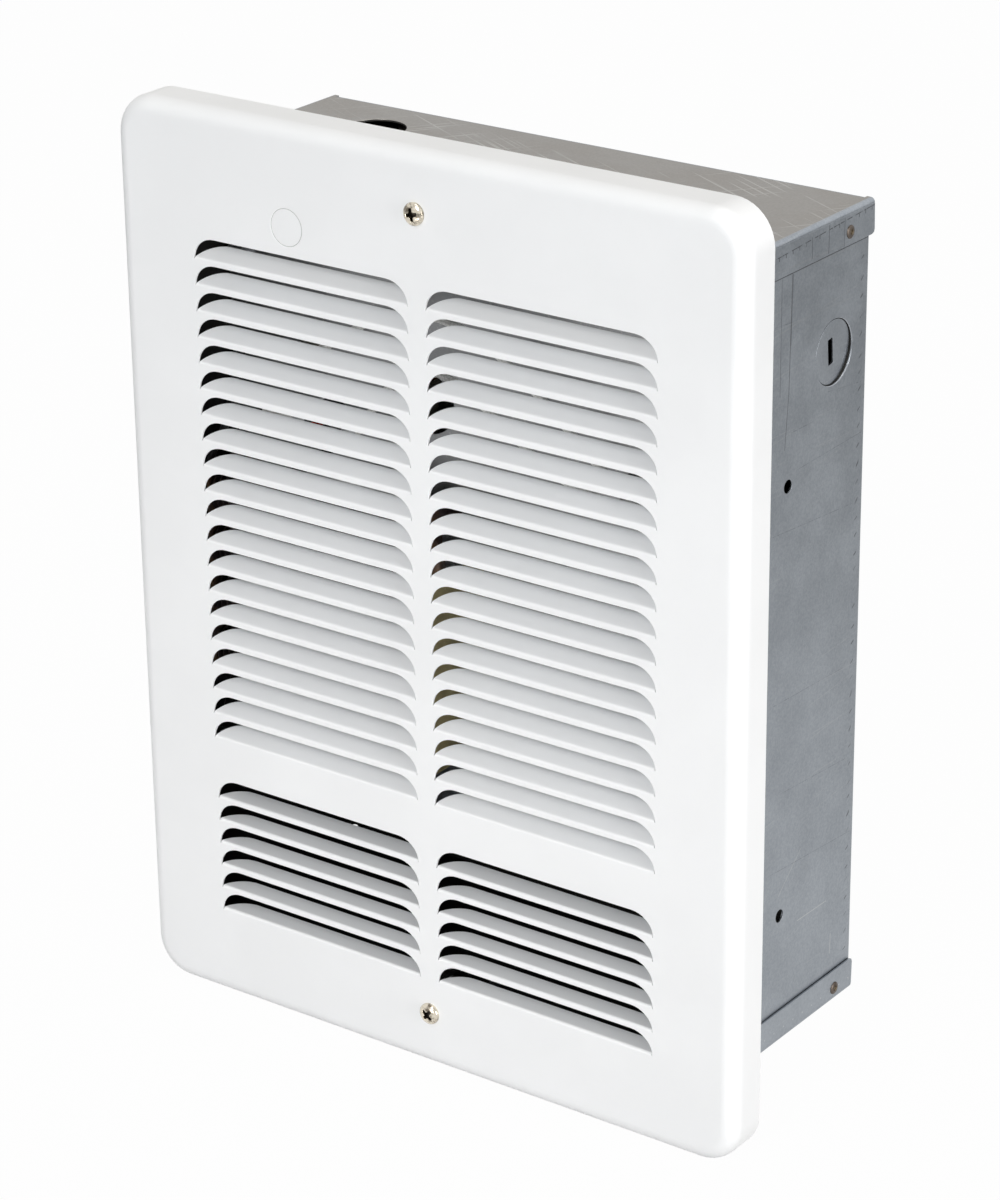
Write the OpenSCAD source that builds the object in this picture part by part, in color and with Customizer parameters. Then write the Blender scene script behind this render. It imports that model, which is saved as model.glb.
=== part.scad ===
// Recessed bathroom wall fan heater: a louvered front pan over a shallow steel wall can that holds a
// finned element, an axial fan with its shaded-pole motor, a manual-reset limit and the wiring.
// Frame: origin at the centre of the wall opening in the wall's face, +X right, +Y into the wall, +Z up.

/* [Front pan] */
// Width of the front pan
pan_w = 258; // [255:1:270]
// Height of the front pan
pan_h = 340; // [336:1:350]
// Depth of the pan, from the wall to its face
pan_d = 16; // [15:0.5:18]
// Radius of the pan's corners, seen from the front
pan_corner = 15; // [12:1:20]
// Outside radius of the fold between face and flange
pan_fold = 5.5; // [4:0.5:7]
// Sheet thickness of the pan
pan_t = 0.8; // [0.8:0.1:1.2]
// Distance of the two grille screws from the centre
screw_z = 148.4; // [148:0.2:149]
// How far right of the pan's centre the grille screws sit
screw_x = 0.4; // [-0.5:0.1:0.5]

/* [Louvers] */
// Rows in the upper, outlet group
upper_rows = 20; // [10:1:20]
// Rows in the lower, intake group
lower_rows = 6; // [3:1:6]
// Distance between rows in the upper group
upper_pitch = 9.525; // [9.2:0.025:9.7]
// Distance between rows in the lower group
lower_pitch = 9.1; // [8.9:0.1:9.4]
// Bend line of the highest upper row
upper_first = 115.75; // [110:0.05:118]
// Bend line of the highest lower row
lower_first = -89.5; // [-92:0.1:-88]
// Height of a slot
slot_h = 8.1; // [7:0.1:8.2]
// Width of a slot in the upper group
upper_w = 92; // [80:0.1:93]
// Width of a slot in the lower group
lower_w = 91.2; // [80:0.1:93]
// Gap between the two columns of the upper group
upper_gap = 7.3; // [6:0.1:12]
// Gap between the two columns of the lower group
lower_gap = 7.8; // [6:0.1:12]
// Radius of a slot's top corners
slot_corner = 7.9; // [5:0.1:8]
// Lean of the upper blades away from the face
upper_lean = 65; // [45:1:90]
// Lean of the lower blades away from the face
lower_lean = 89; // [60:1:89]

/* [Wall can] */
// Width of the can over its cap flanges
can_w = 228; // [224:1:232]
// Height of the can over its caps
can_h = 295; // [290:1:295]
// Depth of the can behind the wall's face
can_d = 86; // [84:1:92]
// Sheet thickness of the can
can_t = 0.8; // [0.7:0.1:1]
// Depth of the cap flanges over the sides
cap_flange = 12.2; // [10:0.1:14]
// Radius of the cable knock-outs
cable_r = 11.1; // [11:0.1:11.2]
// Radius of the holes for screws into the studs
stud_hole_r = 2.4; // [2.2:0.1:2.6]
// Distance of the stud screws behind the wall's face
stud_hole_y = 36; // [30:1:40]
// Height of the upper stud screw
stud_high_z = 60.9; // [50:0.1:70]
// Height of the lower stud screw
stud_low_z = -98.2; // [-105:0.1:-90]

/* [Fan and motor] */
// Place of the fan's axis across the can
fan_x = -58; // [-60:1:-56]
// Height of the fan's axis
fan_z = -5; // [-8:1:-2]
// Radius of the fan over its blade tips
fan_r = 44; // [38:1:44]
// Number of blades
blades = 5; // [3:1:6]
// Pitch of the blades
blade_pitch = 28; // [20:1:30]
// Radius of the motor's shaft
shaft_r = 2.5; // [2.3:0.1:2.8]

/* [Element] */
// Radius of the element's tube
tube_r = 4; // [3.5:0.1:4.2]
// Distance between the tube's runs
run_pitch = 20; // [19:1:21]
// Radius of the fins
fin_r = 9; // [8:0.5:9.4]
// Distance between fins
fin_pitch = 2.6; // [2.4:0.1:4]

/* [Limit] */
// Travel of the reset button
button_travel = 1.5; // [1:0.1:2]

/* [Hidden] */
$fn = 64;

e = 0.1; // cutters run past a face by this much

// sheet-metal colours
WHITE = "#eceeee";
GALVANISED = "#8c9094";
ZINC = "#b9bcc0";
NICKEL = "#cfc8ba";
MICA = "#a39668";
STEEL = "#6f7276";
BLACK = "#1c1c1e";

// louvers
bend_r = 0.2; // inside radius of a blade's bend
tongue_corner = 11; // radius of the arcs at a tongue's free corners
kerf = 0.3; // width of the cut between a blade and its slot
louvers_x = 0.4; // how far right of the pan's centre the louvers sit
blind_x = -54; // centre of the half-sheared disc for a thermostat knob
blind_z = 134;
blind_r = 6.6;

// the can's inner faces
wrap_x = can_w / 2 - can_t;
inner_x = wrap_x - can_t;
inner_y = can_d - 2 * can_t;
inner_z = can_h / 2 - can_t;
cap_bend = 2.5; // outside radius of a cap's bends
wrap_z = can_h / 2 - cap_bend - 0.1; // the wrap stops short of the caps' bends
tip_half = 7; // half width of the notches for a grille screw's tip and its clip
knockout_y = 63.2;
knockout_z = 99.9;
top_hole = [-74, 59.5];
rivet_top = [70.4, can_h / 2 - 7.8]; // depth and height of the side rivets
rivet_bottom = [72.7, can_h / 2 - 5];
rivet_x = 80; // of the back rivets
rivet_z = can_h / 2 - 6.4;

// the deck and what it carries
deck_y = 22; // front face of the deck
deck_t = 1;
deck_back = deck_y + deck_t;
deck_top = 128;
deck_low = -72;
rail_w = 13;
rail_t = 1;
deck_screw_x = inner_x - 7;
deck_screw_z = [-56, 108];
orifice_r = fan_r + 2;
orifice_lip = 8;
orifice_flange = 4; // how far the ring's flange reaches out on the deck
grommet = [66, 52];
grommet_r = 7;
vent = [-24, 66];
vent_r = 11;

// the element
runs_z = [for (i = [0:3]) fan_z + (1.5 - i) * run_pitch];
tube_y = 1;
cold_x = -102.5;
pin_l = 5; // free length of a terminal pin
bend_x = -17;
fins_from = -99;
fins_to = -19;
plate_x = [-101.2, -16.5];
plate_t = 1;
shield_x = -2.5;
shield_t = 1.2;
shield_z = [-58, 14.5];
shield_tabs_z = [-38, 2];

// the limit and the fuse
limit = [-62, 54];
limit_r = 8;
button_r = 2.5;
button_y = deck_y - 10; // back of the button when it is out
fuse = [-83, 76];
fuse_y = 17;

// the motor, from front to back
bridge_y = 44;
bridge_t = 1.2;
bridge_w = 22;
bridge_half = 51;
front_y = bridge_y + bridge_t;
stack_y = 54;
stack_t = 13;
rear_y = 73.8;
bracket_t = 2;
bore_r = 13;
rotor_r = 12.5;
bearing_r = 4;
bolt_x = 20;
bolt_r = 1.9;
bolt_hole_r = 2;
leg_low = 44; // the coil's leg, above the axis
leg_high = 58;
frame_half = 31;
window_half = 15;

// ---- helpers ----

// The same thing left and right.
module both_sides() {
    children();
    mirror([1, 0, 0]) children();
}

// The same thing at the top and at the bottom.
module top_and_bottom() {
    children();
    mirror([0, 0, 1]) children();
}

// A flat shape drawn as X and Z, standing in the XZ plane with its front face at y, t thick backwards.
module standing(y, t) {
    translate([0, y + t, 0]) rotate([90, 0, 0]) linear_extrude(t) children();
}

// A cylinder along +Y from y, h long.
module along_y(x, y, z, r, h) {
    translate([x, y, z]) rotate([-90, 0, 0]) cylinder(r = r, h = h);
}

// A cylinder along +X from x, h long.
module along_x(x, y, z, r, h) {
    translate([x, y, z]) rotate([0, 90, 0]) cylinder(r = r, h = h);
}

// A box between two corners.
module span(low, high) {
    translate(low) cube(high - low);
}

// A profile of radius and height turned about the Y axis at (x, z), its heights counted from y forwards.
module turned(x, y, z) {
    translate([x, y, z]) rotate([90, 0, 0]) rotate_extrude() children();
}

// A flat rectangle with round corners, centred.
module rounded(w, h, r) {
    square([w - 2 * r, h], center = true);
    square([w, h - 2 * r], center = true);
    for (x = [-1, 1], y = [-1, 1]) translate([x * (w / 2 - r), y * (h / 2 - r)]) circle(r);
}

// A flat channel of sheet t: a web of width w at the top, both legs h down, outside radius r.
module channel(w, h, r, t) {
    difference() {
        union() {
            translate([-w / 2 + r, -r]) square([w - 2 * r, r]);
            translate([-w / 2, -h]) square([w, h - r]);
            for (s = [-1, 1]) translate([s * (w / 2 - r), -r]) circle(r);
        }
        translate([-w / 2 + r, -r - e]) square([w - 2 * r, r - t + e]);
        translate([-w / 2 + t, -h - e]) square([w - 2 * t, h - r + e]);
        for (s = [-1, 1]) translate([s * (w / 2 - r), -r]) circle(r - t);
    }
}

function unit(v) = v / norm(v);

// Points of a smooth curve through p, n to a stretch (Catmull-Rom).
function smooth(p, n) = [
    for (i = [0:len(p) - 2], k = [0:n - 1])
        let (a = p[max(i - 1, 0)], b = p[i], c = p[i + 1], d = p[min(i + 2, len(p) - 1)], t = k / n)
        (2 * b + (c - a) * t + (2 * a - 5 * b + 4 * c - d) * t * t
            + (3 * b - a - 3 * c + d) * t * t * t) / 2,
    p[len(p) - 1],
];

function tangent(p, i) = unit(p[min(i + 1, len(p) - 1)] - p[max(i - 1, 0)]);

// One vector square to the path at each point, carried along it without twisting.
function carried(p, i, n) =
    let (t = tangent(p, i), m = unit(n - t * (n * t)))
    i == len(p) - 1 ? [m] : concat([m], carried(p, i + 1, m));

// A wire of radius r along the smooth curve through the points.
module wire(points, r) {
    sides = 8;
    path = smooth(points, 3);
    last = len(path) - 1;
    start = abs(tangent(path, 0).z) < 0.8 ? [0, 0, 1] : [1, 0, 0];
    across = carried(path, 0, start);
    ring = [
        for (i = [0:last], k = [0:sides - 1])
            let (m = across[i], b = cross(tangent(path, i), m))
            path[i] + r * (cos(360 * k / sides) * m + sin(360 * k / sides) * b),
    ];
    walls = [
        for (i = [0:last - 1], k = [0:sides - 1])
            let (a = i * sides + k, b = i * sides + (k + 1) % sides)
            [a, a + sides, b + sides, b],
    ];
    ends = [[for (k = [0:sides - 1]) k], [for (k = [sides - 1:-1:0]) last * sides + k]];
    polyhedron(points = ring, faces = concat(walls, ends));
}

// ---- front pan ----

// Outline of a slot of width w: a straight bottom edge at y = 0 and two round top corners.
module slot_outline(w) {
    intersection() {
        translate([-w / 2, 0]) square([w, slot_h]);
        union() {
            translate([-w / 2, 0]) square([w, slot_h - slot_corner]);
            translate([-w / 2 + slot_corner, 0]) square([w - 2 * slot_corner, slot_h]);
            for (s = [-1, 1])
                translate([s * (w / 2 - slot_corner), slot_h - slot_corner]) circle(slot_corner);
        }
    }
}

// Outline of a tongue w wide seen square on: its root below x = 0, and its free edge at x = length with an
// arc at each end that runs from the free edge down to the side, which it meets a little above the root.
module tongue(length, w) {
    straight = 0.3;
    root = 8;
    half_w = w / 2;
    reach = sqrt(pow(tongue_corner, 2) - pow(tongue_corner - length + straight, 2)); // along the free edge
    intersection() {
        translate([-root, -half_w]) square([root + length + 5, w]);
        union() {
            translate([-root, -half_w - 1]) square([root + straight / 2, w + 2]);
            translate([-root, -half_w + reach]) square([root + length, w - 2 * reach]);
            for (s = [-1, 1]) translate([length - tongue_corner, s * (half_w - reach)]) circle(tongue_corner);
        }
    }
}

// Section of a blade: x outwards from the axis of its bend, y up from the bend line. Its root is in the face.
module blade_section(lean) {
    root = 0.6;
    reach = 5;
    translate([bend_r, -root]) square([pan_t, root]);
    intersection() {
        difference() {
            circle(bend_r + pan_t);
            circle(bend_r);
        }
        polygon([[0, 0], [reach, 0], [reach, reach * tan(lean / 2)], reach * [cos(lean), sin(lean)]]);
    }
    rotate(lean) translate([bend_r, 0]) square([pan_t, slot_h]);
}

// One blade: the tongue of a slot of width w, bent inwards about the slot's bottom edge.
module louver_blade(lean, w) {
    in_bend = (bend_r + pan_t / 2) * lean * PI / 180; // length of the tongue that the bend takes up
    translate([0, -pan_d + pan_t + bend_r, 0]) rotate([90, 0, -90]) intersection() {
        translate([0, 0, -w / 2]) linear_extrude(w) blade_section(lean);
        rotate([0, 0, lean]) translate([-3, 0, 0]) rotate([90, 0, 90]) linear_extrude(6)
            tongue(slot_h - in_bend, w - 2 * kerf);
    }
}

// Puts its child at the bend line of every louver of the upper group, in both columns.
module upper_places() {
    for (i = [0:upper_rows - 1], s = [-1, 1])
        translate([louvers_x + s * (upper_gap + upper_w) / 2, 0, upper_first - i * upper_pitch]) children();
}

// The same for the lower group.
module lower_places() {
    for (i = [0:lower_rows - 1], s = [-1, 1])
        translate([louvers_x + s * (lower_gap + lower_w) / 2, 0, lower_first - i * lower_pitch]) children();
}

// Cross-section of the pan's edge: r outwards from the face's rim, y from the face to the wall.
module edge_section() {
    translate([0, -pan_d + pan_fold]) intersection() {
        difference() {
            circle(pan_fold);
            circle(pan_fold - pan_t);
        }
        translate([0, -pan_fold]) square([pan_fold, pan_fold]);
    }
    translate([pan_fold - pan_t, -pan_d + pan_fold]) square([pan_t, pan_d - pan_fold]);
}

module pan_edge() {
    half_w = pan_w / 2;
    half_h = pan_h / 2;
    both_sides() translate([half_w - pan_fold, 0, -half_h + pan_corner])
        linear_extrude(pan_h - 2 * pan_corner) edge_section();
    top_and_bottom() translate([half_w - pan_corner, 0, half_h - pan_fold])
        rotate([0, -90, 0]) linear_extrude(pan_w - 2 * pan_corner) edge_section();
    both_sides() top_and_bottom() translate([half_w - pan_corner, 0, -half_h + pan_corner])
        rotate([-90, 0, 0]) rotate_extrude(angle = 90)
            translate([pan_corner - pan_fold, 0]) edge_section();
}

module grille() {
    color(WHITE) {
        difference() {
            union() {
                standing(-pan_d, pan_t)
                    rounded(pan_w - 2 * pan_fold, pan_h - 2 * pan_fold, pan_corner - pan_fold);
                pan_edge();
            }
            upper_places() standing(-pan_d - e, pan_t + 2 * e) slot_outline(upper_w);
            lower_places() standing(-pan_d - e, pan_t + 2 * e) slot_outline(lower_w);
            for (s = [-1, 1]) along_y(screw_x, -pan_d - e, s * screw_z, 2.4, pan_t + 2 * e);
            standing(-pan_d - e, 0.25 + e) translate([blind_x, blind_z]) difference() {
                circle(blind_r + 0.25);
                circle(blind_r - 0.25);
            }
        }
        upper_places() louver_blade(upper_lean, upper_w);
        lower_places() louver_blade(lower_lean, lower_w);
    }
}

// Half-section of a pan head and its shank: radius across, height forwards from under the head.
module pan_head_section(head_r, head_h, shank_r, shank_l) {
    translate([0, -shank_l]) square([shank_r, shank_l]);
    square([head_r, head_h * 0.45]);
    intersection() {
        translate([0, head_h - head_r * 1.35]) circle(head_r * 1.35);
        square([head_r, head_h]);
    }
}

// A Phillips screw along Y with the underside of its head at y, its head forwards.
module cross_screw(x, y, z, head_r, head_h, shank_r, shank_l) {
    recess = head_r * 1.15;
    difference() {
        turned(x, y, z) pan_head_section(head_r, head_h, shank_r, shank_l);
        for (a = [0, 90]) translate([x, y - head_h, z]) rotate([0, a, 0])
            cube([recess, head_h * 1.3, head_r * 0.28], center = true);
    }
}

module grille_screws() {
    color(NICKEL) for (s = [-1, 1]) cross_screw(screw_x, -pan_d, s * screw_z, 4.05, 2.5, 2.05, pan_d + 6);
}

ear_t = 1;
ear_w = 22;
ear_leg = 16; // how far an ear's legs reach under the cap
clip_t = 0.6;

// Spring nuts folded over the ears' free ends.
module grille_clips() {
    color(STEEL) top_and_bottom() difference() {
        union() {
            span([-6, -ear_t - clip_t, screw_z - 5], [6, -ear_t, screw_z + 9 + clip_t]);
            span([-6, 0, screw_z - 5], [6, clip_t, screw_z + 9 + clip_t]);
            span([-6, -ear_t, screw_z + 9], [6, 0, screw_z + 9 + clip_t]);
            along_y(screw_x, clip_t, screw_z, 3.4, 1.4);
        }
        along_y(screw_x, -4, screw_z, 2.1, 8);
    }
}

// Angles welded inside the caps: two legs under the cap and an ear in front of the can's edge.
module grille_ears() {
    color(GALVANISED) top_and_bottom() difference() {
        union() {
            span([-ear_w / 2, -ear_t, inner_z - ear_t], [ear_w / 2, 0, screw_z + 9]);
            span([-ear_w / 2, 0, inner_z - ear_t], [ear_w / 2, ear_leg, inner_z]);
        }
        along_y(screw_x, -4, screw_z, 2.2, 8);
        span([-tip_half, 0, inner_z - 2], [tip_half, ear_leg + e, inner_z + e]);
    }
}

// ---- wall can ----

// The ring of a punched knock-out that is still closed, cut into the +X side, with its pry slot.
module closed_knockout() {
    translate([wrap_x - can_t / 2, knockout_y, knockout_z]) rotate([0, 90, 0]) difference() {
        cylinder(r = cable_r + 0.75, h = can_t);
        translate([0, 0, -e]) cylinder(r = cable_r, h = can_t + 2 * e);
    }
    translate([wrap_x, knockout_y - 1.5, knockout_z + 0.5]) rotate([-7.7, 0, 0])
        cube([4 * can_t, 2.6, 9.3], center = true);
}

module can_wrap() {
    color(GALVANISED) difference() {
        translate([0, 0, -wrap_z]) linear_extrude(2 * wrap_z) translate([0, can_d - can_t])
            channel(2 * wrap_x, can_d - can_t, 2, can_t);
        both_sides() {
            closed_knockout();
            for (z = [stud_high_z, stud_low_z])
                along_x(inner_x - 1, stud_hole_y, z, stud_hole_r, 3);
            along_x(inner_x - 1, rivet_top.x, rivet_top.y, 1.6, 3);
            along_x(inner_x - 1, rivet_bottom.x, -rivet_bottom.y, 1.6, 3);
            top_and_bottom() along_y(rivet_x, inner_y - 1, rivet_z, 1.6, 3);
        }
    }
}

// A cap: web, side flanges and back flange, with a notch for the tip of the grille screw. Its side rivets
// are at the depth and height given.
module cap_shell(rivet) {
    difference() {
        union() {
            standing(0, can_d) translate([0, can_h / 2]) channel(can_w, cap_flange, cap_bend, can_t);
            span([-wrap_x + 2, can_d - can_t, can_h / 2 - cap_flange],
                [wrap_x - 2, can_d, can_h / 2 - can_t / 2]);
        }
        span([-tip_half, -e, inner_z - 1], [tip_half, 14, can_h / 2 + 1]);
        both_sides() {
            along_x(wrap_x - 1, rivet.x, rivet.y, 1.6, 3);
            along_y(rivet_x, can_d - 2, rivet_z, 1.6, 3);
        }
    }
}

module can_top() {
    color("#979388") difference() {
        cap_shell(rivet_top);
        translate([top_hole.x, top_hole.y, inner_z - 1]) cylinder(r = cable_r, h = 3);
    }
}

module can_bottom() {
    color(GALVANISED) mirror([0, 0, 1]) cap_shell(rivet_bottom);
}

// One blind rivet through two sheets, along +Z with its head up, the sheets' outside at z = 0.
module blind_rivet() {
    grip = 2 * can_t;
    difference() {
        rotate_extrude() union() {
            translate([0, -grip]) square([1.6, grip]);
            translate([0, -grip - 1.4]) square([2.2, 1.4]);
            intersection() {
                translate([0, -2.7]) circle(3.6);
                square([2.35, 2]);
            }
        }
        translate([0, 0, 0.6]) cylinder(r = 0.8, h = 1);
    }
}

module can_rivets() {
    color("#9a8560") both_sides() {
        translate([can_w / 2, rivet_top.x, rivet_top.y]) rotate([0, 90, 0]) blind_rivet();
        translate([can_w / 2, rivet_bottom.x, -rivet_bottom.y]) rotate([0, 90, 0]) blind_rivet();
        top_and_bottom() translate([rivet_x, can_d, rivet_z]) rotate([-90, 0, 0]) blind_rivet();
    }
}

// ---- deck ----

module deck_rails() {
    color(GALVANISED) both_sides() difference() {
        union() {
            span([inner_x - rail_w, deck_back, deck_low + 6], [inner_x, deck_back + rail_t, 122]);
            span([inner_x - rail_t, deck_back, deck_low + 6], [inner_x, deck_back + rail_w, 122]);
        }
        for (z = deck_screw_z) along_y(deck_screw_x, deck_y, z, 2.1, 4);
        along_x(inner_x - 3, stud_hole_y, stud_high_z, 4.4, 6);
        along_y(-fan_x, deck_y, fan_z, orifice_r + orifice_flange + 0.4, rail_t + 2);
    }
}

bridge_foot = 12;
bridge_screw_x = [-6, 6];
bridge_foot_z = bridge_half + bridge_t + bridge_foot / 2;

module fan_deck() {
    color(ZINC) difference() {
        union() {
            span([-inner_x + 1, deck_y, deck_low], [inner_x - 1, deck_back, deck_top]);
            span([-inner_x + 1, -8, deck_low], [inner_x - 1, deck_y, deck_low + deck_t]);
            span([-inner_x + 1, 4, deck_top - deck_t], [inner_x - 1, deck_y, deck_top]);
        }
        along_y(fan_x, deck_y - e, fan_z, orifice_r, deck_t + 2 * e);
        along_y(grommet.x, deck_y - e, grommet.y, grommet_r, deck_t + 2 * e);
        along_y(vent.x, deck_y - e, vent.y, vent_r, deck_t + 2 * e);
        both_sides() for (z = deck_screw_z) along_y(deck_screw_x, deck_y - e, z, 2.1, 2);
        for (x = bridge_screw_x, s = [-1, 1])
            along_y(fan_x + x, deck_y - e, fan_z + s * bridge_foot_z, 1.6, 2);
        for (z = shield_tabs_z)
            span([shield_x - 0.1, deck_y - e, z - 5.2], [shield_x + shield_t + 0.1, deck_back + e, z + 5.2]);
        along_y(ground_at.x, deck_y - e, ground_at.y, 2.1, 2);
    }
}

// The flanged ring round the fan, welded to the back of the deck.
module orifice_ring() {
    color(ZINC) difference() {
        union() {
            along_y(fan_x, deck_back, fan_z, orifice_r + orifice_flange, deck_t);
            along_y(fan_x, deck_back, fan_z, orifice_r + 1, orifice_lip);
        }
        along_y(fan_x, deck_back - e, fan_z, orifice_r, orifice_lip + 2 * e);
    }
}

// Hexagon screws with washers, head forwards, through the deck into the rails.
module deck_screws() {
    color(ZINC) both_sides() for (z = deck_screw_z) {
        along_y(deck_screw_x, deck_y - 1, z, 5, 1);
        translate([deck_screw_x, deck_y - 1, z]) rotate([90, 0, 0]) cylinder(r = 4, h = 3, $fn = 6);
        along_y(deck_screw_x, deck_y, z, 2.1, 8);
    }
}

module wire_grommet() {
    color(BLACK) turned(grommet.x, deck_back + 2, grommet.y) difference() {
        translate([grommet_r - 2.5, 0]) square([4.5, 5]);
        translate([grommet_r, 2]) square([3, deck_t]);
    }
}

// Mica board between element and wiring, held by two tabs in the deck.
module mica_shield() {
    color(MICA) {
        span([shield_x, -8.5, shield_z[0]], [shield_x + shield_t, deck_y, shield_z[1]]);
        for (z = shield_tabs_z)
            span([shield_x, deck_y, z - 5], [shield_x + shield_t, deck_back + 2, z + 5]);
    }
}

// ---- heating element ----

// One hairpin: two straight runs from the cold ends, joined by a half turn at the right.
module hairpin(high, low) {
    for (z = [high, low]) along_x(cold_x, tube_y, z, tube_r, bend_x - cold_x);
    translate([bend_x, tube_y, (high + low) / 2]) rotate([90, 0, 0]) rotate([0, 0, -90])
        rotate_extrude(angle = 180) translate([(high - low) / 2, 0]) circle(tube_r);
}

module element_sheath() {
    color(STEEL) {
        hairpin(runs_z[0], runs_z[1]);
        hairpin(runs_z[2], runs_z[3]);
    }
}

// Section of one run's fin collar: a thin sleeve with discs along it.
module fin_section() {
    length = fins_to - fins_from;
    translate([tube_r, 0]) square([0.4, length]);
    for (i = [0:floor((length - 0.4) / fin_pitch)])
        translate([tube_r, i * fin_pitch]) square([fin_r - tube_r, 0.4]);
}

module element_fins() {
    color("#55504c") for (z = runs_z)
        translate([fins_from, tube_y, z]) rotate([0, 90, 0]) rotate_extrude() fin_section();
}

// Plates that carry the tubes, with feet on the deck above and below the orifice.
module element_plates() {
    high = runs_z[0] + 11;
    low = runs_z[3] - 11;
    color(ZINC) for (x = plate_x) difference() {
        union() {
            span([x, -7.5, low], [x + plate_t, 17, high]);
            for (z = [high - 9, low]) {
                span([x, 17, z], [x + plate_t, deck_y, z + 9]);
                span([x < fan_x ? x - 5 : x, deck_y - 1, z],
                    [x < fan_x ? x + plate_t : x + plate_t + 5, deck_y, z + 9]);
            }
        }
        for (z = runs_z) along_x(x - 1, tube_y, z, tube_r + 0.1, 3);
    }
}

module element_bushings() {
    color("#e8e2d2") for (z = runs_z) difference() {
        union() {
            along_x(cold_x - 2.5, tube_y, z, 3.2, 2.5);
            along_x(cold_x - 1, tube_y, z, tube_r, 1);
        }
        along_x(cold_x - pin_l, tube_y, z, 1.2, pin_l + e);
    }
}

module element_terminals() {
    color(NICKEL) for (z = runs_z) along_x(cold_x - pin_l, tube_y, z, 1.2, pin_l);
}

// ---- limit and fuse ----

module limit_bracket() {
    color(ZINC) difference() {
        union() {
            span([limit.x - 17, deck_y - 1, limit.y - 5], [limit.x + 17, deck_y, limit.y + 5]);
            along_y(limit.x, deck_y - 5, limit.y, limit_r + 1, 4);
        }
        along_y(limit.x, deck_y - 6, limit.y, limit_r, 7);
        for (s = [-1, 1]) along_y(limit.x + s * 13.5, deck_y - 2, limit.y, 1.8, 3);
    }
}

module limit_body() {
    color(BLACK) difference() {
        union() {
            along_y(limit.x, deck_y - 13, limit.y, limit_r - 0.8, 8);
            along_y(limit.x, deck_y - 5, limit.y, limit_r, 5);
            along_y(limit.x, deck_y - 14.5, limit.y, button_r + 1.4, 2);
        }
        along_y(limit.x, deck_y - 15, limit.y, button_r + 0.1, button_y + button_travel - deck_y + 15.3);
    }
}

module limit_tabs() {
    color(NICKEL) for (s = [-1, 1])
        span([limit.x + s * 11 - 3.8, deck_y - 10.4, limit.y - 3.1],
            [limit.x + s * 11 + 3.8, deck_y - 9.6, limit.y + 3.1]);
}

// The reset button; it travels along +Y into the body.
module limit_button() {
    color("#b3261e") turned(limit.x, button_y, limit.y) {
        square([button_r, 7]);
        intersection() {
            translate([0, 7 - 5]) circle(5.6);
            translate([0, 7]) square([button_r, 1]);
        }
    }
}

module thermal_fuse() {
    color("#c9b27a") {
        along_x(fuse.x - 8, fuse_y, fuse.y, 2.2, 16);
        along_x(fuse.x - 11, fuse_y, fuse.y, 0.7, 3);
        along_x(fuse.x + 8, fuse_y, fuse.y, 0.7, 3);
    }
}

module fuse_clip() {
    color(ZINC) difference() {
        union() {
            along_x(fuse.x - 3, fuse_y, fuse.y, 3, 6);
            span([fuse.x - 3, fuse_y, fuse.y - 3], [fuse.x + 3, deck_y, fuse.y + 3]);
            span([fuse.x - 3, deck_y - 1, fuse.y - 3], [fuse.x + 3, deck_y, fuse.y + 11]);
        }
        along_x(fuse.x - 4, fuse_y, fuse.y, 2.2, 8);
    }
}

// ---- fan ----

// Outline of one blade, root at the bottom and tip at the top, on a circle round the axis.
module blade_outline() {
    intersection() {
        difference() {
            circle(fan_r);
            circle(11);
        }
        polygon([[-7, 9], [7, 9], [17, 26], [20, fan_r + 1], [-15, fan_r + 1], [-14, 26]]);
    }
}

// The spider: a disc with the blades pitched about their own length.
module fan_blades() {
    disc_y = 32;
    color("#c8cacc") difference() {
        union() {
            along_y(fan_x, disc_y, fan_z, 15, 1);
            for (i = [0:blades - 1]) translate([fan_x, disc_y + 0.5, fan_z])
                rotate([0, i * 360 / blades, 0]) rotate([0, 0, blade_pitch])
                    standing(-0.5, 1) blade_outline();
        }
        along_y(fan_x, disc_y - 8, fan_z, 6, 16);
    }
}

module fan_hub() {
    color("#a9a28c") difference() {
        union() {
            along_y(fan_x, 28.5, fan_z, 6, 5);
            along_y(fan_x, 33, fan_z, 11, 1.5);
            along_y(fan_x, 34, fan_z, 8, 7.5);
        }
        along_y(fan_x, 28, fan_z, shaft_r, 15);
        along_x(fan_x, 38, fan_z, 1.5, 10);
    }
}

module hub_screw() {
    color(BLACK) difference() {
        along_x(fan_x + shaft_r, 38, fan_z, 1.5, 5);
        translate([fan_x + shaft_r + 4, 38, fan_z]) rotate([0, 90, 0]) cylinder(r = 0.8, h = 2, $fn = 6);
    }
}

module motor_shaft() {
    color(ZINC) along_y(fan_x, 27, fan_z, shaft_r, 50);
}

module rotor() {
    color("#8a8d90") difference() {
        union() {
            along_y(fan_x, stack_y, fan_z, rotor_r, stack_t);
            along_y(fan_x, stack_y - 1.2, fan_z, rotor_r - 1.5, stack_t + 2.4);
        }
        along_y(fan_x, stack_y - 3, fan_z, shaft_r, stack_t + 6);
    }
}

// ---- motor ----

// Puts its child at the motor's axis.
module at_motor() {
    translate([fan_x, 0, fan_z]) children();
}

// Two shaded corners of the poles, a half turn apart.
module shaded_poles() {
    for (a = [40, 220]) rotate([0, a, 0]) children();
}

module stator() {
    color("#7d8084") at_motor() difference() {
        standing(stack_y, stack_t) difference() {
            translate([-frame_half, -24]) square([2 * frame_half, leg_high + 24]);
            translate([-window_half, 18]) square([2 * window_half, leg_low - 18]);
            circle(bore_r);
            for (s = [-1, 1]) translate([s * bolt_x, 0]) circle(bolt_hole_r);
        }
        shaded_poles() for (s = [-5, 5])
            span([bore_r - 1, stack_y - e, s - 1], [bore_r + 4, stack_y + stack_t + e, s + 1]);
    }
}

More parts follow.
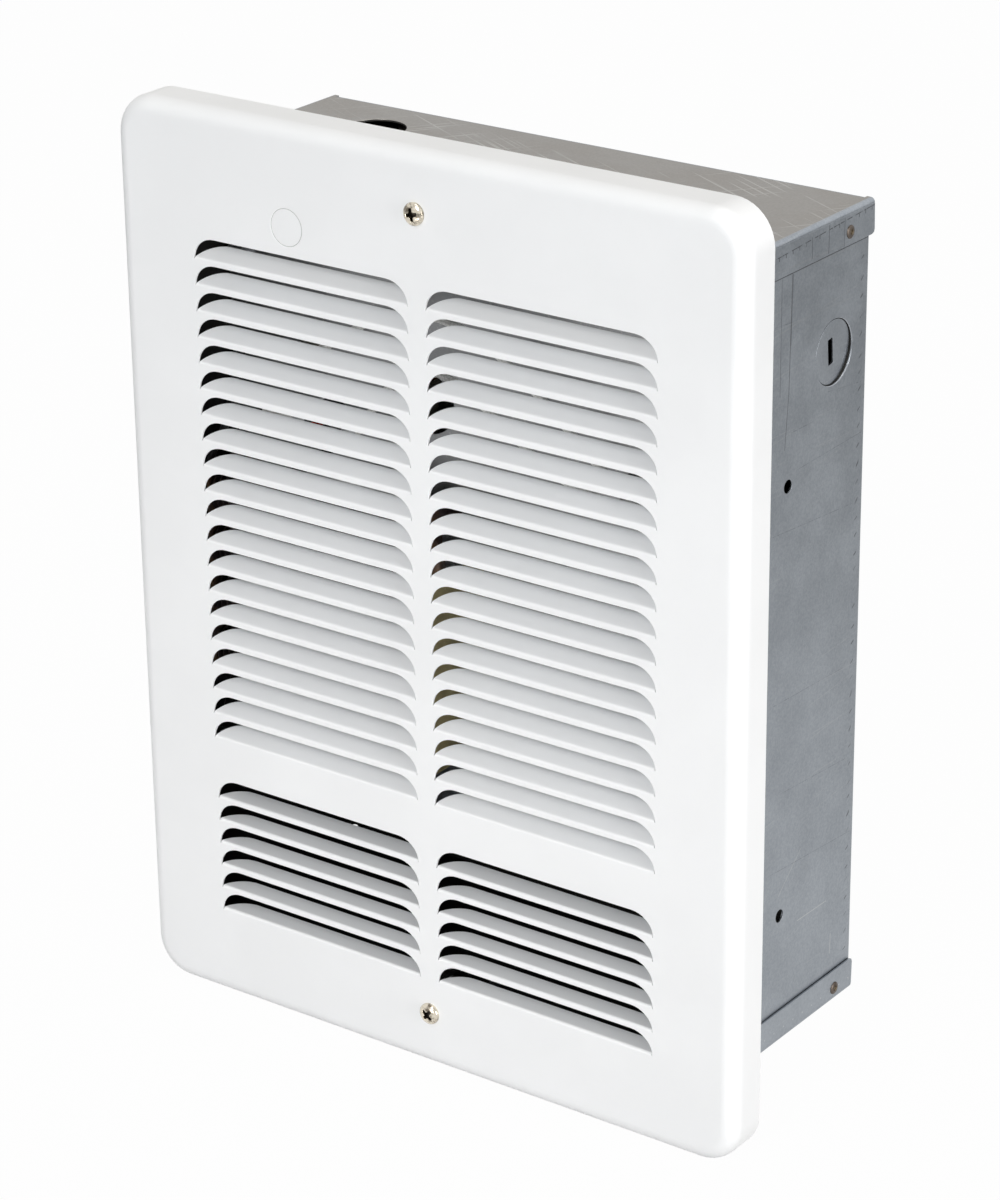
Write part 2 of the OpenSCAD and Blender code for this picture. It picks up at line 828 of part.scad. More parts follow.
module shading_rings() {
    color("#b26a3c") at_motor() shaded_poles() difference() {
        span([bore_r + 2, stack_y - 1.7, -6], [bore_r + 4, stack_y + stack_t + 1.7, 6]);
        span([bore_r + 1, stack_y, -4], [bore_r + 5, stack_y + stack_t, 4]);
    }
}

// A block round the coil's leg, g beyond it on every side and half_x to the left and right.
module round_leg(g, half_x) {
    span([-half_x, stack_y - g, leg_low - g], [half_x, stack_y + stack_t + g, leg_high + g]);
}

module motor_coil() {
    color("#a4552a") at_motor() difference() {
        intersection() {
            round_leg(7.5, 12);
            translate([-12, stack_y + stack_t / 2, (leg_low + leg_high) / 2]) rotate([0, 90, 0])
                linear_extrude(24) rounded(leg_high - leg_low + 15, stack_t + 15, 5);
        }
        round_leg(1, 13);
    }
}

module coil_bobbin() {
    color("#ded8c8") at_motor() difference() {
        union() {
            round_leg(1, 12);
            for (s = [-1, 1]) translate([s * 13, 0, 0]) round_leg(7.8, 1);
        }
        round_leg(0, 15);
    }
}

// A bearing bracket: strap, two posts on the stack and a boss for the bearing. front is its outer face.
module bearing_bracket(front, post_from, post_to, boss_from, boss_to) {
    at_motor() difference() {
        union() {
            span([-bolt_x - 6, front, -7], [bolt_x + 6, front + bracket_t, 7]);
            for (s = [-1, 1]) along_y(s * bolt_x, post_from, 0, 4.5, post_to - post_from);
            along_y(0, boss_from, 0, 7.5, boss_to - boss_from);
        }
        along_y(0, boss_from - 1, 0, bearing_r, boss_to - boss_from + 2);
        for (s = [-1, 1])
            along_y(s * bolt_x, front_y - 1, 0, bolt_hole_r, rear_y - front_y + bracket_t + 2);
    }
}

module front_bracket() {
    color("#9c9ea0") bearing_bracket(front_y, front_y, stack_y, front_y, front_y + 6);
}

module rear_bracket() {
    color("#9c9ea0")
        bearing_bracket(rear_y, stack_y + stack_t, rear_y + bracket_t, rear_y - 4, rear_y + bracket_t);
}

module bearings() {
    color("#b08a4a") at_motor() for (y = [front_y, rear_y - 4]) difference() {
        along_y(0, y, 0, bearing_r, 6);
        along_y(0, y - 1, 0, shaft_r + 0.05, 8);
    }
}

// Long screws through both brackets, stack and bridge, heads at the back.
module motor_bolts() {
    color(ZINC) at_motor() for (s = [-1, 1]) {
        along_y(s * bolt_x, 40, 0, bolt_r, rear_y + bracket_t - 40);
        along_y(s * bolt_x, rear_y + bracket_t, 0, 3.4, 2.4);
    }
}

module motor_nuts() {
    color(ZINC) at_motor() for (s = [-1, 1]) difference() {
        translate([s * bolt_x, bridge_y, 0]) rotate([90, 0, 0]) cylinder(r = 4, h = 2.8, $fn = 6);
        along_y(s * bolt_x, bridge_y - 4, 0, bolt_r, 6);
    }
}

// The strap that carries the motor: a bridge over the fan with two feet on the deck.
module motor_bridge() {
    half_w = bridge_w / 2;
    color(GALVANISED) at_motor() difference() {
        union() {
            span([-bolt_x - 7, bridge_y, -half_w], [bolt_x + 7, front_y, half_w]);
            span([-half_w, bridge_y, -bridge_half - bridge_t], [half_w, front_y, bridge_half + bridge_t]);
            top_and_bottom() {
                span([-half_w, deck_back, bridge_half], [half_w, bridge_y + e, bridge_half + bridge_t]);
                span([-half_w, deck_back, bridge_half],
                    [half_w, deck_back + bridge_t, bridge_half + bridge_t + bridge_foot]);
            }
        }
        along_y(0, bridge_y - 1, 0, 5.5, 4);
        for (s = [-1, 1]) along_y(s * bolt_x, bridge_y - 1, 0, bolt_hole_r, 4);
        for (x = bridge_screw_x, s = [-1, 1]) along_y(x, deck_y, s * bridge_foot_z, 1.6, 4);
    }
}

// Short screws, flush with the deck's front because the limit sits over two of them.
module bridge_screws() {
    color(ZINC) at_motor() for (x = bridge_screw_x, s = [-1, 1]) {
        along_y(x, deck_y, s * bridge_foot_z, 1.6, deck_t + bridge_t);
        along_y(x, deck_back + bridge_t, s * bridge_foot_z, 3.2, 2);
    }
}

// ---- wiring ----

nut_a = [74, 56, 34];
nut_b = [90, 56, 34];
nut_l = 22;
ground_at = [88, -40];
ground_back = [88, -52];
wire_r = 1.5;

// Leads with high-temperature insulation, in front of the deck and through the grommet.
module white_wires() {
    end_x = cold_x - pin_l;
    color("#e9e9e6") {
        wire([[end_x, tube_y, runs_z[0]], [end_x - 1.5, 4, 33], [-107, 12, 46], [-106, 16, 62],
            [-102, fuse_y, 73], [fuse.x - 11, fuse_y, fuse.y]], wire_r);
        wire([[fuse.x + 11, fuse_y, fuse.y], [-62, 15, 82], [-36, 12, 98], [-10, 10, 103], [14, 9, 96],
            [36, 10, 80], [54, 13, 62], [63, 19, 54], [65, 27, 53], [67, 38, 54], [70, 48, 58],
            [nut_a.x, nut_a.y, nut_a.z + nut_l]], wire_r);
        wire([[end_x, tube_y, runs_z[3]], [end_x - 1.5, 5, -30], [-108, 12, -16], [-108, 15, 10],
            [-104, 17, 40], [-92, 15, 52], [limit.x - 14.5, deck_y - 10, limit.y]], wire_r);
        wire([[limit.x + 14.5, deck_y - 10, limit.y], [-40, 8, 62], [-26, 5, 78], [-6, 4, 86], [16, 4, 76],
            [38, 6, 60], [56, 12, 51], [64, 19, 49.5], [67, 27, 49.5], [72, 38, 52], [80, 50, 60],
            [nut_b.x, nut_b.y, nut_b.z + nut_l]], wire_r);
        wire([[end_x, tube_y, runs_z[1]], [end_x - 1.5, tube_y + 1, fan_z + 6],
            [end_x - 1.5, tube_y + 1, fan_z - 6], [end_x, tube_y, runs_z[2]]], wire_r);
    }
}

module motor_leads() {
    color("#3a3a3c") {
        wire([[fan_x + 14, 62, fan_z + 62.5], [-30, 64, 60], [-4, 66, 66], [30, 66, 72], [60, 62, 70],
            [nut_a.x + 3, nut_a.y, nut_a.z + nut_l]], 1);
        wire([[fan_x + 14, 58, fan_z + 62.5], [-30, 59, 63], [-4, 61, 72], [30, 62, 78], [70, 60, 76],
            [nut_b.x + 3, nut_b.y, nut_b.z + nut_l]], 1);
    }
}

// Bonding lead from the deck to the back of the can.
module ground_wire() {
    color("#3c7a45") wire([[ground_at.x, deck_back + 1.5, ground_at.y - 3], [ground_at.x, 30, -56],
        [ground_at.x + 3, 46, -64], [ground_at.x + 3, 64, -64],
        [ground_back.x, 76, -60], [ground_back.x, inner_y - 1.5, ground_back.y - 3]], 1.5);
}

module ground_screws() {
    color("#4f8a4a") {
        along_y(ground_at.x, deck_back, ground_at.y, 4, 2.5);
        along_y(ground_at.x, deck_y - 3, ground_at.y, 2.1, 4);
        along_y(ground_back.x, inner_y - 2.5, ground_back.y, 4, 2.5);
    }
}

// Twist-on splice connectors, mouth up.
module wire_nuts() {
    color("#c8963c") for (n = [nut_a, nut_b]) translate([n.x + 1.5, n.y, n.z]) rotate_extrude()
        polygon([[0, 0], [2.5, 0], [3.5, 1], [6, nut_l - 2], [6, nut_l], [0, nut_l]]);
}

grille();
grille_screws();
grille_clips();
grille_ears();
can_wrap();
can_top();
can_bottom();
can_rivets();
deck_rails();
fan_deck();
orifice_ring();
deck_screws();
wire_grommet();
mica_shield();
element_sheath();
element_fins();
element_plates();
element_bushings();
element_terminals();
limit_bracket();
limit_body();
limit_tabs();
limit_button();
thermal_fuse();
fuse_clip();
fan_blades();
fan_hub();
hub_screw();
motor_shaft();
rotor();
stator();
motor_coil();
coil_bobbin();
shading_rings();
front_bracket();
rear_bracket();
bearings();
motor_bolts();
motor_nuts();
motor_bridge();
bridge_screws();
white_wires();
motor_leads();
ground_wire();
ground_screws();
wire_nuts();
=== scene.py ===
"""Recessed bathroom wall fan heater: the looks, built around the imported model.

The heater is a white louvered front pan on a galvanised wall can. Each sub-assembly is a class that
holds its sizes in millimetres and builds and dresses its own pieces, and each finish is a small frozen
dataclass. The frame is the CAD model's: +X right, +Y into the wall, +Z up, the origin at the centre of
the wall opening in the wall's face.
"""

import logging
import math
from collections.abc import Callable, Sequence
from dataclasses import dataclass, field
from enum import Enum

import bpy
import numpy as np
from mathutils import Matrix, Vector
from mathutils.geometry import delaunay_2d_cdt

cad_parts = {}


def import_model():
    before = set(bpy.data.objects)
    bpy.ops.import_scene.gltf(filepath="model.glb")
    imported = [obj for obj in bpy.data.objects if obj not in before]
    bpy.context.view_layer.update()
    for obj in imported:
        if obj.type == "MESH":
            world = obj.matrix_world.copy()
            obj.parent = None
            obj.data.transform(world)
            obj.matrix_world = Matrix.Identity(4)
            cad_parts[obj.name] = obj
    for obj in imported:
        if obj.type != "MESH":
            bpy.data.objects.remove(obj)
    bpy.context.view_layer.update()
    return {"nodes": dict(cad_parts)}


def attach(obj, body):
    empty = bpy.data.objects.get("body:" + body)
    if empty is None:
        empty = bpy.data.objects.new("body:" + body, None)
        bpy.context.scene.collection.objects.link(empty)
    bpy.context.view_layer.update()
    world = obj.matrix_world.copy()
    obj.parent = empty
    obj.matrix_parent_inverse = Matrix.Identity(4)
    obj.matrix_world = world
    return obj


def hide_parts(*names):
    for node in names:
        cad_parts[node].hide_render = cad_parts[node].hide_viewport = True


MM = 0.001
ROOT = "root"
BEND_POINTS = 9
log = logging.getLogger("heater")

Array = np.ndarray
Pair = tuple[float, float]
Triple = tuple[float, float, float]
Colour = Triple
Socket = bpy.types.NodeSocket
Material = bpy.types.Material
Piece = bpy.types.Object


# ---------------------------------------------------------------- meshes


def xyz(x: Array | float, y: Array | float, z: Array | float) -> Array:
    """Points from coordinates that are arrays or single numbers, spread to one shape.

    Args:
        x: the points' X.
        y: the points' Y.
        z: the points' Z.

    Returns:
        The points, their coordinates along the last axis.
    """
    return np.stack(np.broadcast_arrays(x, y, z), -1)


def quads(rows: int, cols: int, closed: bool) -> Array:
    """Quad corner indices of a rows x cols grid of points, in row order.

    Args:
        rows: number of points along the first parameter.
        cols: number of points along the second parameter.
        closed: whether the last column joins the first.

    Returns:
        An array of four indices per quad.
    """
    i, j = np.meshgrid(np.arange(rows - 1), np.arange(cols if closed else cols - 1), indexing="ij")
    i, j = i.ravel() * cols, j.ravel()
    j1 = (j + 1) % cols
    return np.stack([i + j, i + j1, i + cols + j1, i + cols + j], 1)


def arc(centre: Sequence[float], radius: float, start: float, stop: float, steps: int) -> Array:
    """Points of a flat arc: centre + radius * (cos a, sin a) for a from start to stop, in degrees.

    Args:
        centre: the arc's centre.
        radius: its radius.
        start: first angle in degrees.
        stop: last angle in degrees.
        steps: number of stretches.

    Returns:
        An array of steps + 1 points of two coordinates.
    """
    a = np.radians(np.linspace(start, stop, steps + 1))
    return np.asarray(centre) + radius * np.stack([np.cos(a), np.sin(a)], 1)


def circle(centre: Sequence[float], radius: float, steps: int) -> Array:
    """A whole circle's points, counter-clockwise, each once.

    Args:
        centre: its centre.
        radius: its radius.
        steps: number of points.

    Returns:
        An array of points of two coordinates.
    """
    return arc(centre, radius, 0, 360, steps)[:-1]


def rounded_loop(half_w: float, half_h: float, radius: float, steps: int) -> Array:
    """Counter-clockwise outline of a centred rectangle whose corners are arcs.

    Args:
        half_w: half the width.
        half_h: half the height.
        radius: the corners' radius.
        steps: stretches in each corner's arc.

    Returns:
        The loop's points, each once.
    """
    x, y = half_w - radius, half_h - radius
    corners = [((x, -y), -90), ((x, y), 0), ((-x, y), 90), ((-x, -y), 180)]
    return np.concatenate([arc(c, radius, a, a + 90, steps) for c, a in corners])


def widened(loop: Array, by: float) -> Array:
    """A convex counter-clockwise loop moved outwards, its corners mitred.

    Each point moves by `by (m + n) / (1 + m . n)`, where m and n are the outward normals of the two
    edges that meet there.

    Args:
        loop: the loop's points, each once.
        by: the distance; a negative one moves the loop inwards.

    Returns:
        The moved points, in the same order.
    """
    ahead = np.roll(loop, -1, 0) - loop
    ahead = ahead / np.linalg.norm(ahead, axis=1, keepdims=True)
    after = np.stack([ahead[:, 1], -ahead[:, 0]], 1)
    before = np.roll(after, 1, 0)
    return loop + by * (before + after) / (1 + (before * after).sum(1, keepdims=True))


class Skin:
    """A mesh in the making: patches of points in millimetres, joined where their points meet."""

    def __init__(self) -> None:
        """Starts with no points."""
        self.points: list[Array] = []
        self.faces: list[tuple[int, ...]] = []
        self.slots: list[int] = []
        self.count = 0

    def add(self, points: Array, faces: Array | Sequence[Sequence[int]], slot: int = 0) -> None:
        """Adds one patch.

        Args:
            points: its points, in millimetres.
            faces: corner indices into those points.
            slot: the material slot of its faces.
        """
        points = np.asarray(points, float).reshape(-1, 3)
        self.points.append(points)
        self.faces += [tuple(int(k) + self.count for k in f) for f in faces]
        self.slots += [slot] * len(faces)
        self.count += len(points)

    def grid(self, points: Array, closed: bool = False, flip: bool = False, slot: int = 0) -> None:
        """Adds a surface given as a rows x cols x 3 array of points.

        Args:
            points: the grid of points.
            closed: whether the last column joins the first.
            flip: whether the faces look the other way.
            slot: the material slot of its faces.
        """
        faces = quads(points.shape[0], points.shape[1], closed)
        self.add(points, faces[:, ::-1] if flip else faces, slot)

    def disc(self, ring: Array, centre: Array, slot: int = 0) -> None:
        """Closes a ring of points with triangles to a centre.

        Args:
            ring: the ring's points in order.
            centre: the point in the middle.
            slot: the material slot of its faces.
        """
        n = len(ring)
        k = np.arange(n)
        self.add(np.vstack([ring, centre]), np.stack([k, (k + 1) % n, np.full(n, n)], 1), slot)

    def turn(self, profile: Sequence[Pair], at: Triple, way: Triple, steps: int, slot: int = 0) -> None:
        """Adds a surface of revolution, `at + r (cos t u + sin t v) + h way`, for t round the circle.

        Args:
            profile: radius and height pairs, from the middle of the front outwards and back.
            at: a point on the axis, in millimetres.
            way: the axis, a unit vector towards growing height.
            steps: points round the circle.
            slot: the material slot of its faces.
        """
        n = np.array(way, float)
        u = np.array([0.0, 1.0, 0.0]) if abs(n[0]) > 0.9 else np.array([1.0, 0.0, 0.0])
        t = np.arange(steps) * 2 * np.pi / steps
        round_it = np.cos(t)[:, None] * u + np.sin(t)[:, None] * np.cross(n, u)
        r, h = np.array(profile).T[:, :, None, None]
        self.grid(np.asarray(at) + r * round_it + h * n, closed=True, flip=True, slot=slot)

    def plate(
        self,
        outline: Array,
        holes: Sequence[Array],
        place: Callable[[Array], Array],
        flip: bool = False,
        slot: int = 0,
    ) -> None:
        """Adds a plate with holes as constrained Delaunay triangles of its loops.

        Args:
            outline: the plate's outer loop, in its own two coordinates.
            holes: the loops that are left open.
            place: turns the plate's coordinates into points in millimetres.
            flip: whether the faces look the other way.
            slot: the material slot of its faces.
        """
        loops = [outline, *holes]
        starts = np.cumsum([0] + [len(loop) for loop in loops])
        rings = [list(range(a, b)) for a, b in zip(starts[:-1], starts[1:])]
        found = delaunay_2d_cdt([Vector(p) for p in np.concatenate(loops)], [], rings, 1, 1e-5)
        points = np.array([tuple(v) for v in found[0]])
        keep = [f for f, sources in zip(found[2], found[5]) if list(sources) == [0]]
        self.add(place(points), [f[::-1] for f in keep] if flip else keep, slot)

    def piece(self, name: str, materials: Sequence[Material], weld: float = 1e-4) -> Piece:
        """Makes the object, its place in its mesh, with points closer than weld joined.

        Args:
            name: the piece's name.
            materials: its materials, in the order of its slots.
            weld: the joining distance in millimetres.

        Returns:
            The new object, linked to the scene.
        """
        mesh = bpy.data.meshes.new(name)
        flat = np.concatenate(self.points)
        keys = np.round(flat / weld / 4).astype(np.int64)
        _, first, where = np.unique(keys, axis=0, return_index=True, return_inverse=True)
        where = where.ravel()
        faces, slots = [], []
        for face, slot in zip(self.faces, self.slots):
            ring = [where[k] for k in face]
            ring = [a for a, b in zip(ring, ring[1:] + ring[:1]) if a != b]
            if len(ring) > 2:
                faces.append(ring)
                slots.append(slot)
        mesh.from_pydata((flat[first] * MM).tolist(), [], faces)
        mesh.polygons.foreach_set("material_index", slots)
        for material in materials:
            mesh.materials.append(material)
        mesh.validate()
        mesh.update()
        piece = bpy.data.objects.new(name, mesh)
        bpy.context.scene.collection.objects.link(piece)
        return piece


def smooth(piece: Piece, sharp_from: float) -> Piece:
    """Shades a piece smooth, with edges sharper than an angle kept sharp.

    Args:
        piece: the object.
        sharp_from: the angle in degrees.

    Returns:
        The same object.
    """
    piece.data.shade_smooth()
    piece.data.set_sharp_from_angle(angle=math.radians(sharp_from))
    return piece


def sheet_metal(piece: Piece, thickness: float, rounding: float, inner_slot: int = 0) -> None:
    """Gives a surface its sheet's thickness, inwards, and rounds the sheet's cut edges.

    Args:
        piece: an object whose faces are the sheet's outer side.
        thickness: the sheet's thickness in millimetres.
        rounding: the width of the rounding on cut edges in millimetres.
        inner_slot: how many material slots further the inner side takes its finish.
    """
    solid = piece.modifiers.new("thickness", "SOLIDIFY")
    solid.thickness = thickness * MM
    solid.offset = -1
    solid.use_even_offset = True
    solid.use_quality_normals = True
    solid.material_offset = inner_slot
    edge = piece.modifiers.new("edges", "BEVEL")
    edge.width = rounding * MM
    edge.segments = 2
    edge.limit_method = "ANGLE"
    edge.angle_limit = math.radians(50)
    flat = piece.modifiers.new("normals", "WEIGHTED_NORMAL")
    flat.mode = "FACE_AREA"
    flat.keep_sharp = True


# ---------------------------------------------------------------- node trees


class Graph:
    """A material's or the world's node tree, with patterns read from Object coordinates in millimetres."""

    def __init__(self, owner: Material | bpy.types.World) -> None:
        """Empties the owner's tree.

        Args:
            owner: a material or a world.
        """
        owner.use_nodes = True
        self.tree = owner.node_tree
        self.tree.nodes.clear()

    def node(self, kind: str, inputs: dict[str | int, object], **settings: object) -> bpy.types.Node:
        """Adds a node.

        Args:
            kind: its type's name, after ShaderNode.
            inputs: values, colours or sockets for its inputs.
            settings: its properties.

        Returns:
            The node.
        """
        node = self.tree.nodes.new(f"ShaderNode{kind}")
        for key, value in settings.items():
            setattr(node, key, value)
        for key, value in inputs.items():
            socket = node.inputs[key]
            if isinstance(value, Socket):
                self.tree.links.new(value, socket)
            else:
                socket.default_value = (*value, 1.0) if socket.type == "RGBA" else value
        return node

    def at(self, stretch: Triple = (1, 1, 1), turn: Triple = (0, 0, 0)) -> Socket:
        """Object coordinates in millimetres, turned and then stretched.

        Args:
            stretch: factors along the axes; a small factor makes a pattern long.
            turn: angles about the axes in degrees.

        Returns:
            The vector socket.
        """
        place = self.node("TexCoord", {}).outputs["Object"]
        turned = self.node("Mapping", {"Vector": place, "Rotation": [math.radians(a) for a in turn]})
        scale = [s / MM for s in stretch]
        return self.node("Mapping", {"Vector": turned.outputs[0], "Scale": scale}).outputs[0]

    def split(self, at: Socket) -> list[Socket]:
        """The X, Y and Z of a vector."""
        return list(self.node("SeparateXYZ", {0: at}).outputs)

    def math(self, op: str, *values: object) -> Socket:
        """A Math node, or for more than two values a chain of them from the left.

        Args:
            op: the operation.
            values: numbers or sockets.

        Returns:
            The result.
        """
        found = self.node("Math", dict(enumerate(values[:2])), operation=op).outputs[0]
        for value in values[2:]:
            found = self.node("Math", {0: found, 1: value}, operation=op).outputs[0]
        return found

    def times(self, *values: object) -> Socket:
        """The product of values."""
        return self.math("MULTIPLY", *values)

    def most(self, *values: object) -> Socket:
        """The greatest of values."""
        return self.math("MAXIMUM", *values)

    def total(self, *parts: tuple[Socket, float], start: float = 0.0) -> Socket:
        """The sum of start and of each part times its weight.

        Args:
            parts: sockets, each with its weight.
            start: a number that they are added to.

        Returns:
            The sum.
        """
        found = start
        for value, weight in parts:
            found = self.node("Math", {0: value, 1: weight, 2: found}, operation="MULTIPLY_ADD").outputs[0]
        return found

    def ramp(self, value: Socket, low: float, high: float, to: Pair = (0.0, 1.0)) -> Socket:
        """Maps low..high smoothly to the two ends of to, and holds it outside."""
        ends = {"From Min": low, "From Max": high, "To Min": to[0], "To Max": to[1]}
        return self.node("MapRange", {"Value": value, **ends}, interpolation_type="SMOOTHSTEP").outputs[0]

    def band(self, value: Socket, centre: float, half: float, soft: float) -> Socket:
        """1 where value is within half of centre, falling to 0 over soft."""
        off = self.math("ABSOLUTE", self.total((value, 1.0), start=-centre))
        return self.ramp(off, half, half + soft, (1.0, 0.0))

    def wave(self, value: Socket) -> Socket:
        """How far value is from the middle between two whole numbers, `|fract(value) - 0.5|`."""
        return self.math("ABSOLUTE", self.total((self.math("FRACT", value), 1.0), start=-0.5))

    def noise(self, at: Socket, per_mm: float, detail: float = 2.0, rough: float = 0.5) -> Socket:
        """Fractal noise of about per_mm features a millimetre, from 0 to 1."""
        inputs = {"Vector": at, "Scale": per_mm, "Detail": detail, "Roughness": rough}
        return self.node("TexNoise", inputs).outputs[0]

    def patches(
        self,
        at: Socket,
        per_mm: float,
        ends: Pair,
        detail: float = 2.0,
        rough: float = 0.5,
        to: Pair = (0.0, 1.0),
    ) -> Socket:
        """Noise with its contrast raised: a smooth step between two ends of it."""
        return self.ramp(self.noise(at, per_mm, detail, rough), *ends, to)

    def mix(self, base: object, colour: object, share: Socket, strength: float = 1.0) -> Socket:
        """Lays a colour over a base, as far as share times strength."""
        amount = self.times(share, strength)
        return self.node("Mix", {0: amount, 6: base, 7: colour}, data_type="RGBA").outputs[2]

    def bump(self, height: Socket, depth_mm: float) -> Socket:
        """A bump of depth_mm for a height from 0 to 1."""
        return self.node("Bump", {"Height": height, "Strength": 1.0, "Distance": depth_mm * MM}).outputs[0]

    def principled(self, **sockets: object) -> Socket:
        """A Principled surface, its sockets set by name with _ for a space."""
        inputs = {key.replace("_", " "): value for key, value in sockets.items()}
        return self.node("BsdfPrincipled", inputs).outputs["BSDF"]

    def dress(self, **sockets: object) -> None:
        """Makes a Principled surface the material's surface."""
        self.node("OutputMaterial", {"Surface": self.principled(**sockets)})


# ---------------------------------------------------------------- finishes


class Recipe:
    """A finish: its numbers and colours are fields, and paint turns them into nodes."""

    name: str

    def paint(self, g: Graph, at: Socket) -> None:
        """Builds the finish's nodes; every finish has its own way."""
        raise NotImplementedError

    def material(self) -> Material:
        """Makes the material.

        Returns:
            The new material.
        """
        made = bpy.data.materials.new(self.name)
        graph = Graph(made)
        self.paint(graph, graph.at())
        return made


@dataclass(frozen=True)
class Enamel(Recipe):
    """Satin powder coat with a fine orange peel and the faintest unevenness of tone."""

    name: str = "enamel"
    colour: Colour = (0.895, 0.9, 0.905)
    darker: float = 0.975
    dust: Colour = (0.5, 0.49, 0.46)
    dust_share: float = 0.05
    roughness: float = 0.38
    peel_per_mm: float = 0.9
    peel_mm: float = 0.006

    def paint(self, g: Graph, at: Socket) -> None:
        """Two near tones in slow drifts, a few specks of dust, and the peel as a bump.

        Args:
            g: the material's graph.
            at: its coordinates in millimetres.
        """
        dark = tuple(self.darker * c for c in self.colour)
        base = g.mix(self.colour, dark, g.patches(at, 0.02, (0.35, 0.65), 3))
        base = g.mix(base, self.dust, g.patches(at, 2.5, (0.68, 0.8)), self.dust_share)
        rough = g.patches(at, 0.05, (0.3, 0.7), to=(self.roughness - 0.03, self.roughness + 0.04))
        peel = g.bump(g.noise(at, self.peel_per_mm), self.peel_mm)
        g.dress(Base_Color=base, Roughness=rough, Normal=peel)


@dataclass(frozen=True)
class Galvanised(Recipe):
    """Zinc-coated sheet: soft spangles, rolling lines and scratches."""

    name: str = "galvanised"
    colour: Colour = (0.27, 0.275, 0.285)
    light: Colour = (0.36, 0.365, 0.37)
    bare: Colour = (0.55, 0.55, 0.55)
    roughness: float = 0.34
    spangles_per_mm: float = 0.11
    depth_mm: float = 0.01

    def paint(self, g: Graph, at: Socket) -> None:
        """Tone from spangles, clouds and lines; two families of long thin scratches over it.

        Args:
            g: the material's graph.
            at: its coordinates in millimetres.
        """
        cells = self.spangles_per_mm
        spangle = g.split(g.node("TexVoronoi", {"Vector": at, "Scale": cells}).outputs["Color"])[0]
        soft = g.patches(at, 0.05, (0.3, 0.7), 4, 0.6)
        lines = g.noise(g.at((1, 1, 0.05)), 1.6, 2, 0.6)
        first = g.patches(g.at((1, 1.6, 0.02), (24, 0, 0)), 1.1, (0.66, 0.72), 1, 0.3)
        second = g.patches(g.at((1, 0.03, 1.8), (-18, 0, 9)), 1.0, (0.7, 0.76), 1, 0.3)
        scratch = g.most(first, second)
        base = g.mix(self.colour, self.light, g.total((spangle, 0.35), (soft, 0.45), (lines, 0.2)))
        base = g.mix(base, self.bare, scratch, 0.35)
        rough = g.total((soft, 0.13), (spangle, 0.06), (scratch, -0.08), start=self.roughness - 0.05)
        bump = g.bump(g.total((lines, 0.5), (scratch, -1.0)), self.depth_mm)
        g.dress(Base_Color=base, Metallic=1.0, Roughness=rough, Normal=bump)


